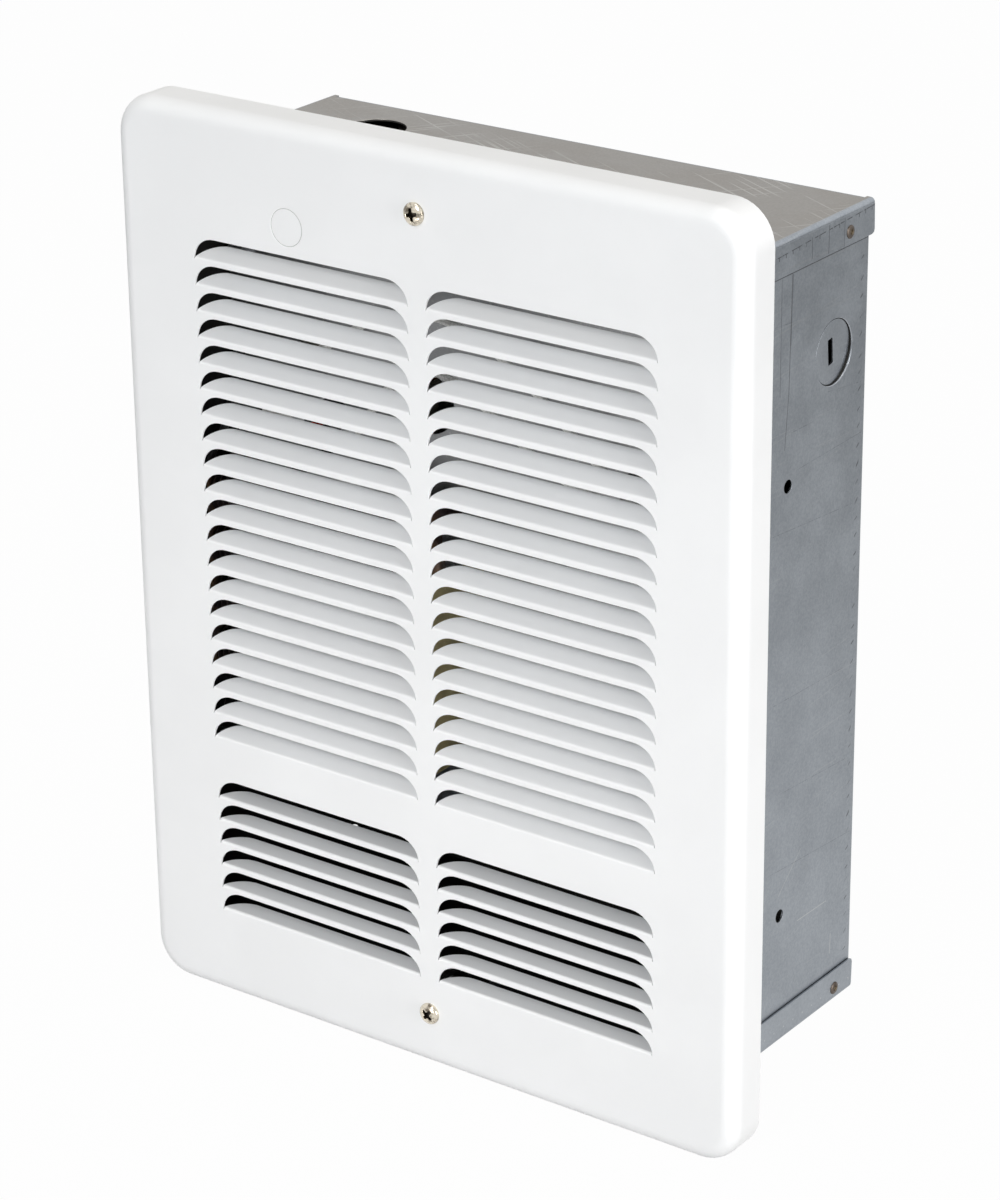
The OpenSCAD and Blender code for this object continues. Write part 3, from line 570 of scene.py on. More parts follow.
class SideMarks:
    """The marks on the can's sides, as values of 1 on a mark and 0 off it.

    A stroke is 1 where `|y - mid_y - lean (z - mid_z)|` is within its half width and `|z - mid_z|` within
    its half height, and falls to 0 over its soft sides and ends. A level stroke is the same with y and z
    swapped. A row of ticks is the fraction of a length over a pitch, 1 near each middle.
    """

    # Middle y and z, half width and half height, lean.
    scribed_and_shadow = (
        # The first row is not a scribed line but a painted shadow along the lower edge of the top cap's side
        # flange.
        (43.0, 134.62, 43.0, 0.1, 0.0),
        (46.7, 140.4, 0.06, 3.4, 0.02),
        (57.0, 140.6, 0.08, 4.6, 0.06),
        (66.7, 140.6, 0.06, 4.6, 0.06),
        (35.9, 114.1, 0.1, 20.6, 0.024),
        (36.5, 122.0, 0.04, 12.0, 0.03),
        (34.45, 84.1, 0.08, 9.6, 0.1),
        (30.0, 114.0, 0.04, 20.0, 0.0),
    )
    upright_scratch = (70.5, -124.0, 0.07, 3.8, 0.03)
    # The same for level strokes: middle z and y, half thickness and half length, lean.
    level_scratches = ((-105.3, 57.5, 0.05, 9.5, -0.02), (-84.0, 42.0, 0.04, 7.0, 0.9))
    dragged = (
        (118.2, 31.7, 0.03, 5.3, -0.085),
        (79.25, 43.5, 0.03, 6.4, -0.02),
        (65.5, 62.5, 0.03, 21.0, 0.02),
        (-17.4, 52.5, 0.03, 23.5, -0.047),
        (-52.6, 56.0, 0.03, 21.6, -0.074),
        (-82.0, 55.8, 0.03, 26.0, -0.08),
        (85.6, 70.6, 0.03, 10.6, -0.12),
        (43.6, 52.5, 0.03, 25.5, -0.084),
    )
    soft_side = 0.12
    soft_end = 0.3
    seam_z = 141.15
    seam_ticks_z = 140.5
    seam_lean = 0.047
    seam_pitch = 4.1
    press_y = 80.3
    press_half_z = 131.0
    press_pitch = 6.6
    press_lean = 0.7
    speck_z = -142.65
    speck_pitch = 6.2
    speck_start = 0.23
    flat_from = 113.0

    def __init__(self, g: Graph, at: Socket) -> None:
        """Takes the graph and its coordinates in millimetres."""
        self.g = g
        self.x, self.y, self.z = g.split(at)

    def stroke(self, mark: Sequence[float], level: bool = False) -> Socket:
        """One straight stroke.

        Args:
            mark: a row of the lists above.
            level: whether the row is for a level stroke.

        Returns:
            The stroke's value.
        """
        mid_u, mid_v, half_u, half_v, lean = mark
        u, v = (self.z, self.y) if level else (self.y, self.z)
        off = self.g.total((u, 1.0), (v, -lean), start=lean * mid_v)
        beside = self.g.band(off, mid_u, half_u, self.soft_side)
        return self.g.times(beside, self.g.band(v, mid_v, half_v, self.soft_end))

    def tick(self, along: Socket, half: float, end: float) -> Socket:
        """A row's ticks: 1 within half a pitch share of each middle, 0 from end on."""
        return self.g.ramp(self.g.wave(along), half, end, (1.0, 0.0))

    def seam(self) -> Socket:
        """A broken line and the press's ticks under the top cap's bend.

        Returns:
            Their value.
        """
        g = self.g
        height = g.total((self.z, 1.0), (self.y, -self.seam_lean))
        broken = g.patches(g.at((0, 1, 0)), 0.35, (0.42, 0.52), 2, 0.6)
        tick = self.tick(g.times(self.y, 1 / self.seam_pitch), 0.03, 0.07)
        ticks = g.times(tick, g.band(height, self.seam_ticks_z, 0.6, 0.2))
        return g.times(g.most(g.band(height, self.seam_z, 0.1, 0.14), ticks), broken)

    def press_row(self) -> Socket:
        """The press's short slanting ticks down the side near its rear bend, a little uneven.

        Returns:
            Their value.
        """
        g, upright = self.g, self.g.at((0, 0, 1))
        pitch = self.press_pitch
        uneven = g.noise(upright, 0.09)
        along = g.total((self.z, 1 / pitch), (self.y, -self.press_lean / pitch), (uneven, 1.3))
        tick = self.tick(along, 0.035, 0.065)
        inside = g.times(g.band(self.y, self.press_y, 0.65, 0.3), g.band(self.z, 0.0, self.press_half_z, 1.0))
        return g.times(tick, inside, g.patches(upright, 0.16, (0.35, 0.6), 1, to=(0.35, 1.0)))

    def dark(self) -> Socket:
        """Scribed lines, a painted shadow line under the top cap's flange, the seam, the press's row and the
        fine drag marks from front to back.

        Returns:
            Their value.
        """
        g = self.g
        worn = g.patches(g.at(), 0.5, (0.35, 0.6), 2, 0.6, to=(0.1, 0.6))
        dragged = g.times(g.most(*[self.stroke(mark, True) for mark in self.dragged]), worn)
        found = [self.stroke(mark) for mark in self.scribed_and_shadow]
        return g.times(g.most(*found, self.seam(), self.press_row(), dragged), self.flank())

    def light(self) -> Socket:
        """Bright scratches low on the side and a row of specks along the bottom flange.

        Returns:
            Their value.
        """
        g = self.g
        found = [self.stroke(self.upright_scratch)]
        found += [self.stroke(mark, True) for mark in self.level_scratches]
        speck = self.tick(g.total((self.y, 1 / self.speck_pitch), start=self.speck_start), 0.02, 0.07)
        specks = g.times(speck, g.band(self.z, self.speck_z, 0.15, 0.25))
        return g.times(g.most(*found, specks), self.flank())

    def flank(self) -> Socket:
        """1 on the two flat sides, 0 elsewhere."""
        return self.g.ramp(self.g.math("ABSOLUTE", self.x), self.flat_from, self.flat_from + 0.15)


@dataclass(frozen=True)
class CanSheet(Recipe):
    """The can's zinc-coated sheet as it was handled: fine grain, scratches, and marks on its sides, among
    them a painted shadow line under the top cap's flange.

    Two families of scratches are noise stretched to long lines, each turned by its own angle, on an
    upright sheet about X and on a level one about Z.
    """

    name: str
    colour: Colour
    light: Colour
    roughness: float
    scratch_share: float
    scratch_from: float
    scratch_turns: Pair
    level: bool = False
    marks: bool = True
    bare: Colour = (0.62, 0.62, 0.6)
    # Colour of the scribed lines and of the painted shadow line under the top cap's flange.
    scribed_and_shadow: Colour = (0.05, 0.05, 0.055)
    rubbed: Colour = (0.6, 0.6, 0.58)
    depth_mm: float = 0.012

    def scratches(self, g: Graph) -> Socket:
        """Both families of scratches.

        Args:
            g: the material's graph.

        Returns:
            1 on a scratch, 0 off it.
        """
        lines = []
        for turn, squeeze in zip(self.scratch_turns, (1.0, 1.2)):
            if self.level:
                place = g.at((squeeze, 0.012, 1), (0, 0, turn))
            else:
                place = g.at((1, squeeze, 0.012), (turn, 0, 0))
            lines.append(g.patches(place, 0.9, (self.scratch_from, self.scratch_from + 0.04), 1, 0.3))
        return g.most(*lines)

    def paint(self, g: Graph, at: Socket) -> None:
        """Clouds and grain in the tone, scratches in patches, and the side's marks where it has them.

        Args:
            g: the material's graph.
            at: its coordinates in millimetres.
        """
        soft = g.patches(at, 0.045, (0.3, 0.7), 4, 0.6)
        fine = g.patches(at, 1.1, (0.25, 0.75), 3, 0.7)
        base = g.mix(self.colour, self.light, g.total((soft, 0.4), (fine, 0.6)))
        scratch = g.times(self.scratches(g), g.patches(at, 0.03, (0.45, 0.6)))
        base = g.mix(base, self.bare, scratch, self.scratch_share)
        height = g.total((fine, 0.25), (scratch, -0.5))
        if self.marks:
            side = SideMarks(g, at)
            dark = side.dark()
            base = g.mix(base, self.scribed_and_shadow, dark, 0.75)
            base = g.mix(base, self.rubbed, side.light(), 0.55)
            height = g.total((height, 1.0), (dark, -1.0))
        cloudy = g.ramp(soft, 0, 1, (self.roughness - 0.03, self.roughness + 0.06))
        rough = g.total((cloudy, 1.0), (scratch, -0.06))
        g.dress(Base_Color=base, Metallic=1.0, Roughness=rough, Normal=g.bump(height, self.depth_mm))


@dataclass(frozen=True)
class Plated(Recipe):
    """Plated or plain small metal: fine turning marks, a little tarnish in patches."""

    name: str
    colour: Colour
    tarnish: Colour
    roughness: float = 0.28
    spots: float = 0.4
    marks_per_mm: float = 3.0
    patches_per_mm: float = 0.35
    depth_mm: float = 0.004

    def paint(self, g: Graph, at: Socket) -> None:
        """The tarnish's patches are duller, and the marks are a bump and an uneven roughness.

        Args:
            g: the material's graph.
            at: its coordinates in millimetres.
        """
        patch = g.patches(at, self.patches_per_mm, (0.45, 0.7), 3, 0.6)
        marks = g.noise(at, self.marks_per_mm)
        base = g.mix(self.colour, self.tarnish, patch, self.spots)
        rough = g.total((patch, 0.14), (g.ramp(marks, 0.3, 0.7), 0.1), start=self.roughness - 0.04)
        g.dress(Base_Color=base, Metallic=1.0, Roughness=rough, Normal=g.bump(marks, self.depth_mm))


@dataclass(frozen=True)
class Moulded(Recipe):
    """Plastic, rubber, ceramic or board: even colour, a fine texture, soft variation."""

    name: str
    colour: Colour
    roughness: float = 0.5
    texture_per_mm: float = 2.5
    texture_mm: float = 0.01
    variation: float = 0.12
    fleck: Colour = (0.9, 0.9, 0.88)
    flecks: float = 0.0

    def paint(self, g: Graph, at: Socket) -> None:
        """One noise gives the texture's bump, its roughness and the flecks.

        Args:
            g: the material's graph.
            at: its coordinates in millimetres.
        """
        fine = g.noise(at, self.texture_per_mm, 3)
        dark = tuple((1 - self.variation) * c for c in self.colour)
        base = g.mix(self.colour, dark, g.patches(at, 0.12, (0.3, 0.7)))
        base = g.mix(base, self.fleck, g.ramp(fine, 0.62, 0.7), self.flecks)
        rough = g.ramp(fine, 0.3, 0.7, (self.roughness - 0.05, self.roughness + 0.05))
        g.dress(Base_Color=base, Roughness=rough, Normal=g.bump(fine, self.texture_mm))


@dataclass(frozen=True)
class HeatTinted(Recipe):
    """Steel that has run hot: brown and blue-grey tints along it, dull oxide between."""

    name: str
    colour: Colour = (0.11, 0.09, 0.085)
    tint: Colour = (0.2, 0.12, 0.07)
    roughness: float = 0.45

    def paint(self, g: Graph, at: Socket) -> None:
        """The tint follows a noise stretched along X.

        Args:
            g: the material's graph.
            at: its coordinates in millimetres.
        """
        fine = g.noise(at, 2.0, 3)
        base = g.mix(self.colour, self.tint, g.patches(g.at((0.2, 1, 1)), 0.15, (0.35, 0.65), 3))
        rough = g.ramp(fine, 0.3, 0.7, (self.roughness - 0.08, self.roughness + 0.12))
        g.dress(Base_Color=base, Metallic=0.85, Roughness=rough, Normal=g.bump(fine, 0.008))


@dataclass(frozen=True)
class Laminated(Recipe):
    """The edges of a stack of thin steel sheets, seen as fine lines across the stack."""

    name: str = "lamination"
    colour: Colour = (0.24, 0.25, 0.26)
    gap: Colour = (0.05, 0.045, 0.04)
    rust: Colour = (0.2, 0.1, 0.05)
    pitch_mm: float = 0.65

    def paint(self, g: Graph, at: Socket) -> None:
        """Dark sunk gaps at every pitch along Y, with rust in patches.

        Args:
            g: the material's graph.
            at: its coordinates in millimetres.
        """
        gap = g.ramp(g.wave(g.times(g.split(at)[1], 1 / self.pitch_mm)), 0.34, 0.46)
        base = g.mix(self.colour, self.gap, gap, 0.7)
        base = g.mix(base, self.rust, g.patches(at, 0.2, (0.58, 0.75), 4, 0.7), 0.25)
        bump = g.bump(g.total((gap, -1.0), start=1.0), 0.03)
        g.dress(Base_Color=base, Metallic=0.9, Roughness=0.42, Normal=bump)


@dataclass(frozen=True)
class Wound(Recipe):
    """Enamelled copper wire in close turns about the coil's leg."""

    name: str = "copper"
    colour: Colour = (0.5, 0.2, 0.09)
    shade: Colour = (0.38, 0.13, 0.06)
    gap: Colour = (0.09, 0.03, 0.015)
    pitch_mm: float = 0.5

    def paint(self, g: Graph, at: Socket) -> None:
        """Round turns at every pitch along X, under a coat of enamel.

        Args:
            g: the material's graph.
            at: its coordinates in millimetres.
        """
        off = g.wave(g.times(g.split(at)[0], 1 / self.pitch_mm))
        wire = g.mix(self.colour, self.shade, g.patches(at, 0.3, (0.3, 0.7), 3))
        base = g.mix(wire, self.gap, g.ramp(off, 0.3, 0.48))
        bump = g.bump(g.total((off, -1.0), start=1.0), 0.1)
        g.dress(Base_Color=base, Metallic=0.6, Roughness=0.3, Coat_Weight=0.3, Normal=bump)


@dataclass(frozen=True)
class Braided(Recipe):
    """Woven glass sleeving: a fine diagonal weave with a silicone sheen, black left of an X."""

    name: str
    colour: Colour
    shade: Colour
    per_mm: float
    black_left_of: float
    left_black: Colour = (0.015, 0.015, 0.016)
    grime: Colour = (0.4, 0.36, 0.3)

    def paint(self, g: Graph, at: Socket) -> None:
        """Two families of short turned threads make the weave.

        Args:
            g: the material's graph.
            at: its coordinates in millimetres.
        """
        threads = [g.at((1, 1, 0.3), (0, 40 * s, 20 * s)) for s in (1, -1)]
        weave = g.most(*[g.patches(place, self.per_mm, (0.4, 0.6), 1) for place in threads])
        base = g.mix(self.shade, self.colour, weave)
        base = g.mix(base, self.grime, g.patches(at, 0.08, (0.45, 0.75), 3), 0.15)
        # Left of a given X the wire is plain black.
        bare = g.ramp(g.split(at)[0], self.black_left_of - 0.2, self.black_left_of + 0.2)
        base = g.mix(self.left_black, base, bare)
        g.dress(Base_Color=base, Roughness=0.55, Sheen_Weight=0.1, Normal=g.bump(weave, 0.04))


class Finish(Enum):
    """The record's material slots, each with the finish that its pieces wear."""

    enamel = Enamel()
    galvanised = Galvanised()
    screw_nickel = Plated("screw_nickel", (0.72, 0.66, 0.55), (0.07, 0.05, 0.03), 0.1, 0.85)
    zinc_plate = Plated("zinc_plate", (0.5, 0.51, 0.53), (0.36, 0.36, 0.35), 0.3)
    spring_steel = Plated("spring_steel", (0.08, 0.08, 0.085), (0.05, 0.045, 0.04), 0.4)
    rivet = Plated("rivet", (0.12, 0.1, 0.085), (0.06, 0.045, 0.035), 0.45, 0.8, 1.5)
    grommet_rubber = Moulded("grommet_rubber", (0.02, 0.02, 0.02), 0.65)
    mica = Moulded("mica", (0.4, 0.34, 0.17), 0.6, 1.2, 0.02, 0.25, (0.62, 0.56, 0.36), 0.5)
    sheath_steel = HeatTinted("sheath_steel")
    fin_steel = HeatTinted("fin_steel", (0.07, 0.058, 0.06), (0.12, 0.085, 0.075), 0.5)
    bushing_ceramic = Moulded("bushing_ceramic", (0.74, 0.7, 0.62), 0.7, 3.0, 0.01, 0.08)
    phenolic = Moulded("phenolic", (0.018, 0.018, 0.02), 0.4)
    button_red = Moulded("button_red", (0.3, 0.018, 0.014), 0.25, 4.0, 0.003, 0.05)
    fuse_case = Plated("fuse_case", (0.56, 0.44, 0.22), (0.35, 0.24, 0.1), 0.32)
    blade_aluminium = Plated("blade_aluminium", (0.62, 0.63, 0.65), (0.48, 0.48, 0.48), 0.33, 0.3, 1.2)
    hub_zinc = Plated("hub_zinc", (0.42, 0.42, 0.43), (0.3, 0.3, 0.3), 0.45, 0.4, 2.0)
    lamination = Laminated()
    copper = Wound()
    bobbin_nylon = Moulded("bobbin_nylon", (0.7, 0.66, 0.56), 0.45, 2.0, 0.006, 0.06)
    bronze = Plated("bronze", (0.42, 0.28, 0.12), (0.25, 0.16, 0.08), 0.35)
    wire_white = Braided("wire_white", (0.82, 0.82, 0.8), (0.6, 0.6, 0.58), 2.2, -92.0)
    wire_dark = Moulded("wire_dark", (0.03, 0.03, 0.034), 0.4, 4.0, 0.004)
    wire_green = Moulded("wire_green", (0.03, 0.16, 0.055), 0.4, 4.0, 0.004)
    screw_green = Plated("screw_green", (0.1, 0.26, 0.12), (0.07, 0.16, 0.08), 0.35)
    nut_tan = Moulded("nut_tan", (0.5, 0.3, 0.1), 0.32, 3.0, 0.005)


# Finishes that dress only a part of a piece, beside its own.
# Grey enamel for the middle ring of the groove round the blind disc: painted shade.
GROOVE_SHADE = Enamel("enamel_groove_shade", (0.42, 0.43, 0.41))
CAN_SIDE = CanSheet("can_side", (0.235, 0.257, 0.283), (0.342, 0.366, 0.394), 0.36, 0.07, 0.7, (92.0, 86.0))
# The caps' webs: the same sheet in a warmer tone, which is painted warm light from above; its level scratches
# are real.
CAN_WEB_WARM_LIT = CanSheet(
    "can_top", (0.2, 0.191, 0.177), (0.262, 0.247, 0.228), 0.36, 0.27, 0.67, (38.0, -62.0), level=True
)
# The inner side: the sheet nearly black, which is painted shade; the real inside is the same sheet as the
# outside.
CAN_INSIDE_SHADE = CanSheet(
    "can_inside_shade", (0.03, 0.029, 0.028), (0.05, 0.049, 0.047), 0.5, 0.1, 0.74, (24.0, -31.0), marks=False
)
SHEARED = Plated("sheared_edge", (0.62, 0.64, 0.67), (0.5, 0.5, 0.52), 0.25, 0.3)
# Near-black metal for the depths of the screws' cross recesses: painted shade.
RECESS_SHADE = Plated("recess", (0.035, 0.03, 0.025), (0.02, 0.018, 0.015), 0.4, 0.5)
RIVET_CORE = Plated("rivet_core", (0.2, 0.165, 0.115), (0.1, 0.08, 0.06), 0.4, 0.7, 2.0)


@dataclass
class Workshop:
    """What every sub-assembly needs: the frame's nodes and the materials, each made once."""

    nodes: dict[str, Piece]
    made: dict[Recipe, Material] = field(default_factory=dict)

    def materials(self, *finishes: Finish | Recipe) -> list[Material]:
        """The materials of finishes, in the same order.

        Args:
            finishes: record's slots or part finishes.

        Returns:
            One material each.
        """
        recipes = [finish.value if isinstance(finish, Finish) else finish for finish in finishes]
        for recipe in recipes:
            if recipe not in self.made:
                self.made[recipe] = recipe.material()
        return [self.made[recipe] for recipe in recipes]

    def dress_node(self, name: str, finish: Finish) -> None:
        """Gives a carried-over CAD node its material.

        Args:
            name: the node's name.
            finish: what it wears.
        """
        slots = self.nodes[name].data.materials
        slots.clear()
        slots.append(self.materials(finish)[0])

    def hand_in(self, piece: Piece, finish: Finish, replaced: str) -> None:
        """Fastens a new piece to the body that stands still and reports it.

        Args:
            piece: the finished object.
            finish: not used.
            replaced: the CAD node that it stands for.
        """
        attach(piece, ROOT)
        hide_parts(replaced)
        log.info("%s: %d faces, on %s", piece.name, len(piece.data.polygons), ROOT)


# ---------------------------------------------------------------- front pan


@dataclass(frozen=True)
class LouverGroup:
    """One group of louvers, two columns wide: its rows from the highest down."""

    rows: int
    first: float
    pitch: float
    slot_w: float
    gap: float
    lean: float
    top_lean: float

    def places(self) -> list[Triple]:
        """Each louver's left end from the group's middle, its bend line's height and its lean.

        Returns:
            Left end, height and lean, row by row from the highest, left column first.
        """
        ends = (-self.gap / 2 - self.slot_w, self.gap / 2)
        heights = self.first - self.pitch * np.arange(self.rows)
        return [(x, z, self.lean if row else self.top_lean) for row, z in enumerate(heights) for x in ends]


@dataclass
class FrontPan:
    """The white front pan: a folded tray whose face is pressed into two columns of louvers."""

    shop: Workshop
    width: float = 258.0
    height: float = 340.0
    depth: float = 16.0
    fold: float = 5.5
    corner: float = 15.0
    sheet: float = 0.8
    rounding: float = 0.18
    upper: LouverGroup = LouverGroup(20, 115.75, 9.525, 92.0, 7.3, 65.0, 65.0)
    lower: LouverGroup = LouverGroup(6, -89.5, 9.1, 91.2, 7.8, 90.0, 86.0)
    lean_scatter: float = 0.35
    louvers_x: float = 0.4
    slot_h: float = 8.1
    slot_corner: Pair = (9.0, 8.0)
    slot_steps: int = 9
    kerf: float = 0.3
    bend: float = 0.2
    tongue_corner: float = 10.5
    tongue_columns: int = 5
    bend_rows: int = 5
    tongue_rows: int = 13
    margin: float = 0.4
    screw_z: float = 148.4
    screw_hole: float = 2.4
    screw_steps: int = 24
    corner_steps: int = 10
    blind: Pair = (-54.0, 134.0)
    blind_r: float = 6.6
    blind_steps: int = 40
    # The groove round the blind disc: how far outside its radius, and how deep.
    groove: tuple[Pair, ...] = ((0.3, 0.0), (0.1, 0.16), (-0.1, 0.16), (-0.35, 0.05))
    rng: np.random.Generator = field(default_factory=lambda: np.random.default_rng(7))

    def slot_loop(self, slot_w: float) -> Array:
        """A slot's outline: its bottom edge, then up the right, along the top and down the left.

        The top corners are quarters of an ellipse. The bottom edge has a point at each end and, between
        them, one where each of the blade's columns begins.

        Args:
            slot_w: the slot's width.

        Returns:
            The loop's points from the lower left corner, each once.
        """
        radii = np.array(self.slot_corner)
        inner = np.linspace(self.kerf, slot_w - self.kerf, self.tongue_columns)
        columns = np.concatenate([[0.0], inner, [slot_w]])
        bottom = np.stack([columns, np.zeros(len(columns))], 1)
        right = [slot_w, self.slot_h] - radii + radii * arc((0, 0), 1, 0, 90, self.slot_steps)
        left = [0, self.slot_h] + radii * ([1, -1] + arc((0, 0), 1, 90, 180, self.slot_steps))
        return np.concatenate([bottom, right, left])

    def on_face(self, flat: Array) -> Array:
        """Points of the face's outer side for flat X and Z."""
        return xyz(flat[:, 0], -self.depth, flat[:, 1])

    def blade(self, left: float, slot_w: float, bend_z: float, lean: float) -> Array:
        """A blade's outer side as a grid of rows along the tongue and columns across it.

        The section is an arc of the bend's outside radius about an axis behind the bend line, then a
        straight stretch at the lean. The free corners are arcs of radius r that touch the free edge:
        at a distance s along the flat tongue of length h, a row's half width is
        `half - sqrt(r^2 - (r - h)^2) + sqrt(r^2 - (r - h + s)^2)`.

        Args:
            left: where the slot begins.
            slot_w: the slot's width.
            bend_z: height of the bend line.
            lean: angle between face and blade in degrees.

        Returns:
            Points as rows x columns x 3.
        """
        outside, middle = self.bend + self.sheet, self.bend + self.sheet / 2
        t, r, h = math.radians(lean), self.tongue_corner, self.slot_h
        flat = np.linspace(math.asin((r - h + middle * t) / r), math.pi / 2, self.tongue_rows)
        bend = np.linspace(0, middle * t, self.bend_rows, endpoint=False)
        s = np.concatenate([bend, h - r + r * np.sin(flat)])
        bent, along = np.minimum(s / middle, t), np.maximum(s - middle * t, 0)
        half_w = slot_w / 2 - self.kerf - math.sqrt(r**2 - (r - h) ** 2)
        half_w = half_w + np.sqrt(np.maximum(r**2 - (r - h + s) ** 2, 0))
        x = left + slot_w / 2 + half_w[:, None] * np.linspace(-1, 1, self.tongue_columns)
        y = -self.depth + outside * (1 - np.cos(bent)) + along * math.sin(t)
        z = bend_z + outside * np.sin(bent) + along * math.cos(t)
        return xyz(x, y[:, None], z[:, None])

    def border(self, skin: Skin, loop: Array, by: float) -> Array:
        """A narrow flat strip along a loop, so that no long triangle of the face ends in an edge.

        Args:
            skin: the mesh in the making.
            loop: the loop on the face that the strip follows.
            by: the strip's width, away from the loop; negative where the face is inside the loop.

        Returns:
            The strip's other edge.
        """
        other = widened(loop, by)
        pair = (other, loop) if by > 0 else (loop, other)
        skin.grid(np.stack([self.on_face(p) for p in pair]), closed=True)
        return other

    def edge(self, inset: float) -> Array:
        """The pan's outline, moved in by an inset."""
        half_w, half_h = self.width / 2 - inset, self.height / 2 - inset
        return rounded_loop(half_w, half_h, self.corner - inset, self.corner_steps)

    def rim(self, skin: Skin) -> None:
        """The fold and flange: a quarter arc and a straight, carried along the face's outline.

        Args:
            skin: the mesh in the making.
        """
        inner = self.edge(self.fold)
        out = (self.edge(0.0) - inner) / self.fold
        a = np.radians(np.linspace(0, 90, BEND_POINTS))
        off = np.concatenate([self.fold * np.sin(a), [self.fold]])
        deep = np.concatenate([self.fold * (1 - np.cos(a)), [self.depth]]) - self.depth
        flat = inner + off[:, None, None] * out
        skin.grid(xyz(flat[..., 0], deep[:, None], flat[..., 1]), closed=True, flip=True)

    def blind_disc(self, skin: Skin) -> None:
        """The half-sheared disc: a fine groove round it, its middle ring in grey enamel as painted shade, and
        the disc itself, a little sunk.

        Args:
            skin: the mesh in the making.
        """
        turn = np.radians(np.arange(self.blind_steps) * 360 / self.blind_steps)
        off, deep = np.array(self.groove).T[:, :, None]
        x = self.blind[0] + (self.blind_r + off) * np.cos(turn)
        z = self.blind[1] + (self.blind_r + off) * np.sin(turn)
        points = xyz(x, deep - self.depth, z)
        # The groove's middle ring takes slot 1, the grey enamel that is painted shade.
        for first, slot in enumerate((0, 1, 0)):
            skin.grid(points[first : first + 2], closed=True, slot=slot)
        skin.disc(points[-1], points[-1].mean(0))

    def build(self) -> None:
        """Builds the pan as one sheet."""
        skin = Skin()
        loops = []
        for group in (self.upper, self.lower):
            slot = self.slot_loop(group.slot_w)
            for start, z, lean in group.places():
                left = self.louvers_x + start
                loops.append(slot + [left, z])
                scatter = self.rng.normal(0, self.lean_scatter)
                skin.grid(self.blade(left, group.slot_w, z, lean + scatter))
        loops += [circle((0, z), self.screw_hole, self.screw_steps) for z in (-self.screw_z, self.screw_z)]
        loops.append(circle(self.blind, self.blind_r + self.groove[0][0], self.blind_steps))
        holes = [self.border(skin, loop, self.margin) for loop in loops]
        skin.plate(self.border(skin, self.edge(self.fold), -self.margin), holes, self.on_face)
        self.blind_disc(skin)
        self.rim(skin)
        piece = smooth(skin.piece("front_pan", self.shop.materials(Finish.enamel, GROOVE_SHADE)), 40)
        sheet_metal(piece, self.sheet, self.rounding)
        self.shop.hand_in(piece, Finish.enamel, "grille")


# ---------------------------------------------------------------- screws and rivets


@dataclass
class GrilleScrews:
    """Two plated pan-head screws with cross recesses, through the front pan."""

    shop: Workshop
    x: float = 0.4
    face_y: float = -16.0
    heights: Pair = (148.4, -148.4)
    turns: Pair = (12.0, 52.0)
    head_r: float = 4.0
    head_h: float = 2.35
    rim_h: float = 0.75
    dome_power: float = 0.55
    recess_deep: float = 1.8
    arm_l: float = 2.35
    arm_half: float = 0.72
    arm_taper: float = 0.12
    arm_wall: float = 0.22
    arm_end: float = 0.5
    centre_r: float = 1.25
    centre_wall: float = 0.3
    centre_deep: float = 0.9
    shade_from: float = 0.45
    shank_r: float = 2.0
    shank_l: float = 21.5
    around: int = 144

    def head(self, turn: float) -> tuple[Array, Array]:
        """The head's top as rings x angles x 3, the cross recess pressed into it.

        The dome is a circle's cap with a rounded rim: height `rim + (top - rim) (1 - q^2)^power` for the
        share q of the radius. The recess sinks by `deep (3 f^2 - 2 f^3)`, f rising from 0 to 1 over the
        two arms of the cross, whose sides slope inwards, and over the round in their middle.

        Args:
            turn: how far the cross is turned, in degrees.

        Returns:
            Points about the screw's axis (across X, forwards and across Z), and f.
        """
        r = self.head_r * np.concatenate([np.linspace(0.0, 0.62, 40), np.linspace(0.64, 1.0, 15)])[:, None]
        a = np.radians(np.arange(self.around) * 360 / self.around)
        dome = np.maximum(1 - (r / self.head_r) ** 2, 0) ** self.dome_power
        dome = self.rim_h + (self.head_h - self.rim_h) * dome
        t = math.radians(turn)
        u, v = np.abs(r * np.cos(a - t)), np.abs(r * np.sin(a - t))
        along, across = np.maximum(u, v), np.minimum(u, v)
        half = self.arm_half - self.arm_taper * along / self.arm_l
        arms = np.clip((half - across) / self.arm_wall, 0, 1)
        arms = arms * np.clip((self.arm_l - along) / self.arm_end, 0, 1)
        centre = np.clip((self.centre_r - np.hypot(u, v)) / self.centre_wall, 0, 1)
        sunk = np.maximum(arms, centre * self.centre_deep)
        height = dome - self.recess_deep * (3 * sunk**2 - 2 * sunk**3)
        return xyz(r * np.cos(a), height, r * np.sin(a)), sunk

    def build(self) -> None:
        """Builds both screws as one piece, the faces deep in the recess in a near-black finish that is
        painted shade.
        """
        skin = Skin()
        rim = [(self.head_r, self.rim_h), (self.head_r + 0.02, 0.45), (self.head_r - 0.1, 0.0)]
        shank = [(self.shank_r, 0.0), (self.shank_r, 2 - self.shank_l), (0.4, -self.shank_l)]
        for z, turn in zip(self.heights, self.turns):
            at = (self.x, self.face_y, z)
            head, sunk = self.head(turn)
            head = head * [1, -1, 1] + at
            skin.grid(head[1:], closed=True, flip=True)
            # Faces sunk past the threshold above take slot 1, the near black that is painted shade.
            dark = np.minimum(sunk[1:-1], sunk[2:]).ravel() > self.shade_from
            skin.slots[-len(dark) :] = [int(k) for k in dark]
            skin.disc(head[1], head[0, :1], slot=1)
            skin.turn(rim + shank, at, (0, -1, 0), self.around)
        materials = self.shop.materials(Finish.screw_nickel, RECESS_SHADE)
        piece = smooth(skin.piece("grille_screw_pair", materials, 2e-3), 40)
        self.shop.hand_in(piece, Finish.screw_nickel, "grille_screws")


